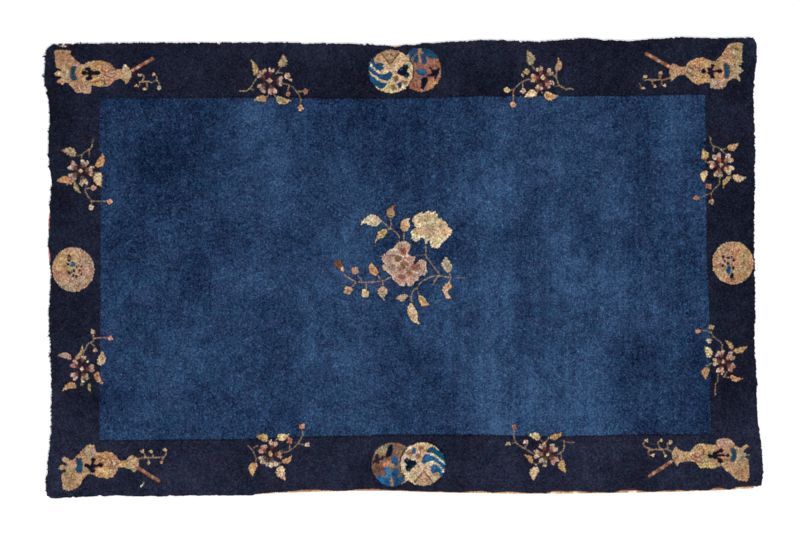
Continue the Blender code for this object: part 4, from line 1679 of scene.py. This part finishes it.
def frayed(corners):
    """The grid with its outer rows moved in and out along each side, as the pile's lip is worn and ragged."""
    rng = np.random.default_rng(17)
    corners = corners.copy()
    sides = (
        (corners, 1, 1, 0, UPPER_WORN, 1.0),
        (corners[::-1], 1, -1, 0, LOWER_WORN, LOWER_RAGGEDNESS),
        (corners.transpose(1, 0, 2), 0, -1, 1, LEFT_WORN, 1.0),
        (corners[:, ::-1].transpose(1, 0, 2), 0, 1, 1, RIGHT_WORN, 1.0),
    )
    for number, (rows, axis, outward, along_axis, worn, raggedness) in enumerate(sides):
        along = on_chart(rows[0])[:, along_axis]
        down = along * 0 + number
        fray = sum(depth * uneven(along, down, (size, 1), seed) for size, depth, seed in FRAY_WAVES)
        fray = (fray + rng.normal(0, FRAY_OF_KNOT, len(along))) * raggedness
        for start, end, depth in worn:
            fray = fray - depth * reach_of(along, start, end)
        fray = fray * np.clip(from_ends(len(fray)) / FRAY_CORNER, 0, 1)
        for row, share in enumerate(FRAY_FADE):
            rows[row, :, axis] += outward * share * fray * MM
    return corners


def stray_tufts(corners, material):
    """Slender tufts that stick out past the pile's lip, each closed and with four faces."""
    rng = np.random.default_rng(29)
    vertices = []
    for on_left, start, end, between, longest in STRAY_TUFTS:
        line = corners[:, 0] if on_left else corners[0]
        outward, onward = np.array(((-1, 0), (0, -1)) if on_left else ((0, 1), (1, 0)))
        along = on_chart(line)[:, 1 if on_left else 0]
        for square in np.arange(start, end, between):
            square = square + rng.uniform(-0.45, 0.45) * between
            lip = np.array([np.interp(square, along, line[:, axis]) for axis in (0, 1)])
            root = lip - STRAY_ROOT * MM * outward
            way = outward + rng.uniform(-0.3, 1.0) * onward
            tip = root + way * (STRAY_ROOT + longest * rng.uniform(0.4, 1)) * MM
            half = rng.uniform(*STRAY_HALF_WIDTH) * MM * onward
            height = rng.uniform(*STRAY_HEIGHT) * MM
            vertices += [(*(root - half), height), (*(root + half), height)]
            vertices += [(*root, height + STRAY_RIDGE), (*tip, height - STRAY_DROOP)]
    vertices = np.array(vertices)
    first = np.arange(0, len(vertices), 4)[:, None]
    faces = np.vstack([first + corner for corner in ((0, 2, 1), (0, 1, 3), (1, 2, 3), (2, 0, 3))])
    return new_piece("stray_tufts", vertices, faces, knot_colours(vertices[:, :2]), material)


class Pile(NamedTuple):
    """The whole pile's tufts, with their corners and tips in rows from the rug's upper side."""

    corners: np.ndarray
    corner_height: np.ndarray
    corner_colours: np.ndarray
    tips: np.ndarray
    tip_height: np.ndarray
    tip_colours: np.ndarray
    skirt: np.ndarray


def pile_grid(ring):
    """The corners of the pile's knots, one row of corners for each row of the weave and one more."""
    return frayed(fitted_grid(ring, round(RUG_LENGTH / KNOT), round(RUG_WIDTH / KNOT)))


def tufted(corners, skirt_ring):
    """The pile on its grid of corners, with the lip's underside ending on the skirt's ring."""
    rng = np.random.default_rng(9)
    rows, columns = corners.shape[0] - 1, corners.shape[1] - 1
    tips, depth = cell_middles(corners), edge_depth(corners)
    tip_depth = cell_middles(depth)
    corner_height = pile_height(corners, depth) - TUFT_DEPTH
    corner_height = np.maximum(corner_height + rng.normal(0, ROOT_UNEVENNESS, depth.shape), LEAST_PILE)
    tip_height = pile_height(tips, tip_depth) - np.abs(rng.normal(0, TIP_UNEVENNESS, tip_depth.shape))
    tip_height -= (rng.random(tip_depth.shape) < LOW_TUFTS) * LOW_BY
    tips = tips + TUFT_LEAN + rng.normal(0, TUFT_STRAY, tips.shape)
    upper_reach, lower_reach, left_reach, right_reach = LIP_REACH
    tips[0, :, 1] += upper_reach * rng.random(columns) ** 2
    tips[-1, :, 1] -= lower_reach * rng.random(columns) ** 2
    tips[:, 0, 0] -= left_reach * rng.random(rows) ** 2
    tips[:, -1, 0] += right_reach * rng.random(rows) ** 2
    colours = knot_colours(np.vstack([corners.reshape(-1, 2), tips.reshape(-1, 2)]))
    corner_colours = colours[: depth.size].reshape((*depth.shape, 3)) * CREVICE_SHADE
    tip_colours = colours[depth.size :].reshape((*tip_depth.shape, 3))
    place = on_chart(corners[-1])[:, 0]
    # Along the lower lip the corners take worn brown roots and painted shade between the pile and the cord,
    # darkest at the right end
    corner_colours[-1, place > ROOTS_AND_SHADE_FROM] = to_linear(as_colour(WORN_ROOTS_AND_SHADE))
    corner_colours[-3:, place > ROOTS_AND_SHADE_MOST_FROM] = to_linear(as_colour(blend(WORN_ROOTS_AND_SHADE, INK, 0.5)))
    skirt = fitted_grid(skirt_ring, columns, rows)
    return Pile(corners, corner_height, corner_colours, tips, tip_height, tip_colours, skirt)


def tuft_faces(tall, columns):
    """The four faces of each tuft of a strip, and where their corners lie in the strip's bake."""
    row, column = (part.ravel() for part in np.mgrid[0:tall, 0:columns])
    stride = columns + 1
    tip = (tall + 1) * stride + row * columns + column
    seam = columns / FOLDS
    fold = np.minimum((column / seam).astype(int), FOLDS - 1)

    def in_bake(down, right):
        across = 0.004 + 0.992 * (column + right - fold * seam) / seam
        upright = (fold + 0.02 + 0.96 * (row + down) / tall) / FOLDS
        return np.column_stack([across, upright])

    steps = ((0, 0), (1, 0), (1, 1), (0, 1))
    faces, places = [], []
    for step, following in zip(steps, steps[1:] + steps[:1]):
        one, two = ((row + down) * stride + column + right for down, right in (step, following))
        faces.append(np.column_stack([one, two, tip]))
        places.append(np.stack([in_bake(*step), in_bake(*following), in_bake(0.5, 0.5)], axis=1))
    return faces, places


def skirt_faces(upper_line, lower_line):
    """The two faces of each step of the lip's underside, and where their corners lie in the strip's bake."""
    one = np.column_stack([upper_line[:-1], upper_line[1:], lower_line[1:]])
    two = np.column_stack([upper_line[:-1], lower_line[1:], lower_line[:-1]])
    place = np.column_stack([np.linspace(0.01, 0.99, len(upper_line)), np.full(len(upper_line), 0.002)])
    start, end = place[:-1], place[1:]
    return (one, two), (np.stack([start, end, end], axis=1), np.stack([start, end, start], axis=1))


def pile_strip(number, pile, first, last, material):
    """The tufts of some rows of the pile, with the lip's underside where the strip meets the rug's edge."""
    tall, columns = last - first, pile.tips.shape[1]
    stride = columns + 1
    level = slice(first, last + 1)
    vertices = [
        np.dstack([pile.corners[level], pile.corner_height[level]]).reshape(-1, 3),
        np.dstack([pile.tips[first:last], pile.tip_height[first:last]]).reshape(-1, 3),
    ]
    colours = [pile.corner_colours[level].reshape(-1, 3), pile.tip_colours[first:last].reshape(-1, 3)]
    faces, places = tuft_faces(tall, columns)
    edges = []
    if first == 0:
        edges.append((np.arange(stride), pile.skirt[0]))
    if last == len(pile.tips):
        edges.append((tall * stride + np.arange(columns, -1, -1), pile.skirt[last][::-1]))
    edges.append((np.arange(tall, -1, -1) * stride, pile.skirt[level, 0][::-1]))
    edges.append((np.arange(tall + 1) * stride + columns, pile.skirt[level, columns]))
    total = sum(len(part) for part in vertices)
    for upper_line, lower_places in edges:
        height = np.where(np.abs(lower_places[:, 0]) > END_FROM_MIDDLE, END_WEAVE_TOP, WEAVE_TOP)
        vertices.append(np.column_stack([lower_places, height]))
        colours.append(colours[0][upper_line] * UNDERSIDE_SHADE)
        new_faces, new_places = skirt_faces(upper_line, total + np.arange(len(upper_line)))
        faces.extend(new_faces)
        places.extend(new_places)
        total += len(upper_line)
    name = f"pile_{number}"
    piece = new_piece(name, np.vstack(vertices), np.vstack(faces), np.vstack(colours), material)
    layer = piece.data.uv_layers.new(name="OFBake")
    layer.data.foreach_set("uv", np.vstack(places).reshape(-1).astype(np.float32))
    return piece


def pile_strips(corners, skirt_ring, material):
    """The pile as strips of tufts, one small pyramid to a knot."""
    pile = tufted(corners, skirt_ring)
    bounds = np.linspace(0, len(pile.tips), STRIPS + 1).astype(int)
    rows = zip(bounds[:-1], bounds[1:])
    return [pile_strip(number + 1, pile, first, last, material) for number, (first, last) in enumerate(rows)]


def foundation(ring, material):
    """The woven cotton under the pile, closed all round, thinner at its two ends."""
    columns, rows = round(CLOTH_LENGTH / FOUNDATION_CELL), round(CLOTH_WIDTH / FOUNDATION_CELL)
    stride, count = columns + 1, (columns + 1) * (rows + 1)
    grid = fitted_grid(ring, columns, rows, calm_reach=4)
    along = on_chart(grid[:, 0])[:, 1]
    left_colour = np.tile(as_colour(LEFT_END_COTTON), (rows + 1, 1))
    for start, end, yarn in LEFT_BARE:
        share = reach_of(along, start, end)
        grid[:, 0, 0] -= LEFT_BARE_DEPTH * share
        left_colour += (as_colour(yarn) - left_colour) * share[:, None]

    from_end = np.minimum(*(lengths_of(grid - grid[:, [at]]) for at in (0, -1)))
    top = np.interp(from_end, END_SLOPE, (END_WEAVE_TOP, WEAVE_TOP))
    waves = patches(grid[..., 0] + 3, grid[..., 1] + 3, (0.06, 0.06), 31)
    under = WEAVE_WAVES * waves * np.clip(edge_depth(grid) / FLAT_RIM, 0, 1)
    vertices = np.vstack([np.dstack([grid, level]).reshape(-1, 3) for level in (top, under)])
    row, column = np.mgrid[0:rows, 0:columns]
    corner = (row * stride + column).ravel()
    upper = np.column_stack([corner, corner + stride, corner + stride + 1, corner + 1])
    lower = upper[:, ::-1] + count
    rim = np.concatenate([
        np.arange(columns) + rows * stride,
        np.arange(rows, 0, -1) * stride + columns,
        np.arange(columns, 0, -1),
        np.arange(rows) * stride,
    ])
    following = np.roll(rim, -1)
    wall = np.column_stack([rim, rim + count, following + count, following])

    x = vertices[:, :1]
    left, right = (np.clip((side * x - END_COLOUR_FROM) / END_COLOUR_FADE, 0, 1) for side in (-1, 1))
    left_colours = np.tile(np.repeat(to_linear(left_colour), stride, axis=0), (2, 1))
    colours = to_linear(as_colour(WEAVE_COTTON)) * (1 - left) + left_colours * left
    colours = colours * (1 - right) + to_linear(as_colour(RIGHT_END_COTTON)) * right
    return new_piece("foundation", vertices, np.vstack([upper, lower, wall]), colours, material)


def cord_route(node):
    """The middle line of a CAD cord, one point to each of its rings."""
    places = np.array([vertex.co for vertex in node.data.vertices])
    places = places[np.argsort(places[:, 0])]
    breaks = np.nonzero(np.diff(places[:, 0]) > CORD_RING_GAP)[0] + 1
    rings = np.split(places, breaks)
    return np.array([(ring[:, 0].mean(), (ring[:, 1].min() + ring[:, 1].max()) / 2) for ring in rings])


def pushed_out(route):
    """The upper cord's middle line, pushed out where the lip above it is worn."""
    route = route.copy()
    for start, end, push in UPPER_CORD_PUSHED:
        route[:, 1] += push * MM * reach_of(on_chart(route)[:, 0], start, end)
    return route


def wrapped_cord(name, route, colour_of, material):
    """Yarn wrapped round a bundle of warp ends, turn beside turn."""
    rng = np.random.default_rng(len(name))
    length = np.hypot(*np.diff(route, axis=0).T).sum()
    line = spaced(route, int(length / WRAP_PITCH) * len(TURN_GIRTHS))
    heading = np.gradient(line, axis=0)
    heading /= np.hypot(*heading.T)[:, None]
    across = np.column_stack([-heading[:, 1], heading[:, 0]])
    turn, step = np.divmod(np.arange(len(line)), len(TURN_GIRTHS))
    ends = from_ends(len(line))
    girth = TURN_GIRTHS[step] * (1 + rng.normal(0, GIRTH_UNEVENNESS, turn.max() + 1)[turn])
    girth = (girth * np.clip(0.45 + ends * 0.12, 0, 1))[:, None]
    angles = np.arange(CORD_SIDES) * 2 * math.pi / CORD_SIDES
    side = np.cos(angles) * girth * CORD_HALF_WIDTH
    rise = np.sin(angles) * girth * CORD_HALF_HEIGHT
    slant = np.cos(angles)[None, :, None] * WRAP_SLANT * heading[:, None]
    slant = slant * np.clip(ends / 6, 0, 1)[:, None, None]
    flat = line[:, None] + side[..., None] * across[:, None] + slant
    height = np.maximum(CORD_HALF_HEIGHT + CORD_CLEARANCE + rise, 0)
    vertices = np.dstack([flat, height]).reshape(-1, 3)
    ring, corner = np.mgrid[0 : len(line) - 1, 0:CORD_SIDES]
    one = (ring * CORD_SIDES + corner).ravel()
    two = (ring * CORD_SIDES + (corner + 1) % CORD_SIDES).ravel()
    faces = [tuple(face) for face in np.column_stack([one, one + CORD_SIDES, two + CORD_SIDES, two]).tolist()]
    faces.append(tuple(range(CORD_SIDES)))
    faces.append(tuple(range(len(vertices) - 1, len(vertices) - 1 - CORD_SIDES, -1)))
    colours = colour_of(on_chart(line)[:, 0])
    colours = colours * (1 + rng.normal(0, SHADE_UNEVENNESS, turn.max() + 1)[turn])[:, None]
    # Each turn darkens where it is thinnest: painted shade in the grooves between turns
    colours = np.clip(colours * TURN_PAINTED_SHADES[step][:, None], 0, 1)
    return new_piece(name, vertices, faces, np.repeat(to_linear(colours), CORD_SIDES, axis=0), material)


def cord_colour(x, yarn, other, worn, run, seed, worn_runs):
    """One cotton with runs of another and worn stretches, at each square along the rug."""
    share = np.clip(along_one(x, run, seed) * 2 - 0.9, 0, 1)[:, None]
    colour = as_colour(yarn) + (as_colour(other) - as_colour(yarn)) * share
    for start, end in worn_runs:
        colour = np.where(((x > start) & (x < end))[:, None], as_colour(worn), colour)
    return colour


def lower_cord_colour(x):
    """Tan yarn, with cream where it is worn and redder runs here and there, partly browner yarn and partly
    painted shade.
    """
    return cord_colour(x, TAN_COTTON, BROWN_COTTON_AND_SHADE, WORN_TAN_COTTON, 14, 41, LOWER_CORD_WORN)


def upper_cord_colour(x):
    """Pinkish cream yarn with browner runs, dark turns at its left end and a pale run near its middle."""
    colour = cord_colour(x, ROSE_COTTON, DULL_ROSE_COTTON, WORN_ROSE_COTTON, 6, 42, UPPER_CORD_PALE)
    dark = ((x < UPPER_CORD_DARK_TO) & (along_one(x, 0.9, 43) > 0.55))[:, None]
    return np.where(dark, as_colour(DARK_COTTON), colour)


def yarn_material(name, roughness, fuzz, grain, bump, contrast=0.28):
    """Yarn in the colours of its knots, with a fine uneven fibre."""
    material = bpy.data.materials.new(name)
    material.use_nodes = True
    nodes, links = material.node_tree.nodes, material.node_tree.links
    shader = nodes["Principled BSDF"]
    shader.inputs["Roughness"].default_value = roughness
    shader.inputs["Specular IOR Level"].default_value = 0.03
    shader.inputs["Sheen Weight"].default_value = fuzz
    shader.inputs["Sheen Roughness"].default_value = 0.6
    colour = nodes.new("ShaderNodeVertexColor")
    colour.layer_name = "yarn"
    place = nodes.new("ShaderNodeTexCoord")
    fibre = nodes.new("ShaderNodeTexNoise")
    fibre.inputs["Scale"].default_value = grain
    fibre.inputs["Detail"].default_value = 3
    links.new(place.outputs["Object"], fibre.inputs["Vector"])
    level = nodes.new("ShaderNodeMapRange")
    level.inputs["To Min"].default_value = 1 - contrast
    level.inputs["To Max"].default_value = 1 + contrast
    links.new(fibre.outputs["Fac"], level.inputs["Value"])
    tint = nodes.new("ShaderNodeVectorMath")
    tint.operation = "SCALE"
    links.new(colour.outputs["Color"], tint.inputs[0])
    links.new(level.outputs["Result"], tint.inputs["Scale"])
    links.new(tint.outputs["Vector"], shader.inputs["Base Color"])
    relief = nodes.new("ShaderNodeBump")
    relief.inputs["Strength"].default_value = bump
    relief.inputs["Distance"].default_value = 0.6 * MM
    links.new(fibre.outputs["Fac"], relief.inputs["Height"])
    links.new(relief.outputs["Normal"], shader.inputs["Normal"])
    return material


def stage():
    """A plain pale floor just under the rug."""
    bpy.ops.mesh.primitive_plane_add(size=14, location=(0, 0, -0.5 * MM))
    floor = bpy.context.object
    floor.name = "floor"
    material = bpy.data.materials.new("floor")
    material.use_nodes = True
    shader = material.node_tree.nodes["Principled BSDF"]
    shader.inputs["Base Color"].default_value = (0.9, 0.9, 0.9, 1)
    shader.inputs["Roughness"].default_value = 0.9
    shader.inputs["Specular IOR Level"].default_value = 0.1
    floor.data.materials.append(material)


def lights():
    """A white studio with a soft key light and a softer fill. Their angles and turns are in degrees."""
    world = bpy.data.worlds.new("studio")
    world.use_nodes = True
    background = world.node_tree.nodes["Background"]
    background.inputs["Color"].default_value = (1, 1, 1, 1)
    background.inputs["Strength"].default_value = 0.95
    bpy.context.scene.world = world
    for name, strength, angle, turn in (("key", 1.5, 20, (42, 0, 35)), ("fill", 0.6, 60, (50, 0, -140))):
        lamp = bpy.data.lights.new(name, "SUN")
        lamp.energy = strength
        lamp.angle = math.radians(angle)
        holder = bpy.data.objects.new(name, lamp)
        holder.rotation_euler = [math.radians(value) for value in turn]
        bpy.context.collection.objects.link(holder)
    bpy.context.scene.view_settings.view_transform = "Standard"


def camera():
    """Straight above the rug, with one picture point to a chart square at the top of the pile."""
    lens = bpy.data.cameras.new("camera")
    lens.lens = 80
    lens.sensor_width = 36
    lens.clip_end = 100
    width = PICTURE_SQUARES[0] * SQUARE
    middle = (np.array(PICTURE_SQUARES) / 2 - CHART_MIDDLE) * (1, -1) * SQUARE
    holder = bpy.data.objects.new("camera", lens)
    holder.location = (*middle, PILE_TOP + width * lens.lens / lens.sensor_width)
    bpy.context.collection.objects.link(holder)
    bpy.context.scene.camera = holder


def main():
    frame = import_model()
    rug = frame["nodes"]["rug"]
    wool = yarn_material("wool", 0.95, 0.01, 900, 0.5)
    cotton = yarn_material("cotton", 0.85, 0.05, 700, 0.6)
    corners = pile_grid(ring_at(rug, LIP_LEVEL))
    strips = pile_strips(corners, ring_at(rug, 0), wool)
    strips.append(stray_tufts(corners, wool))
    base = foundation(ring_at(rug, 0), cotton)
    lower_route = cord_route(frame["nodes"]["lower_cord"])
    upper_route = pushed_out(cord_route(frame["nodes"]["upper_cord"]))
    lower = wrapped_cord("lower_cord_yarn", lower_route, lower_cord_colour, cotton)
    upper = wrapped_cord("upper_cord_yarn", upper_route, upper_cord_colour, cotton)
    for piece in strips + [base, lower, upper]:
        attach(piece, "root")
    for piece in strips + [base]:
        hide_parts("rug")
    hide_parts("lower_cord")
    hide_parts("upper_cord")
    stage()
    lights()
    camera()


main()
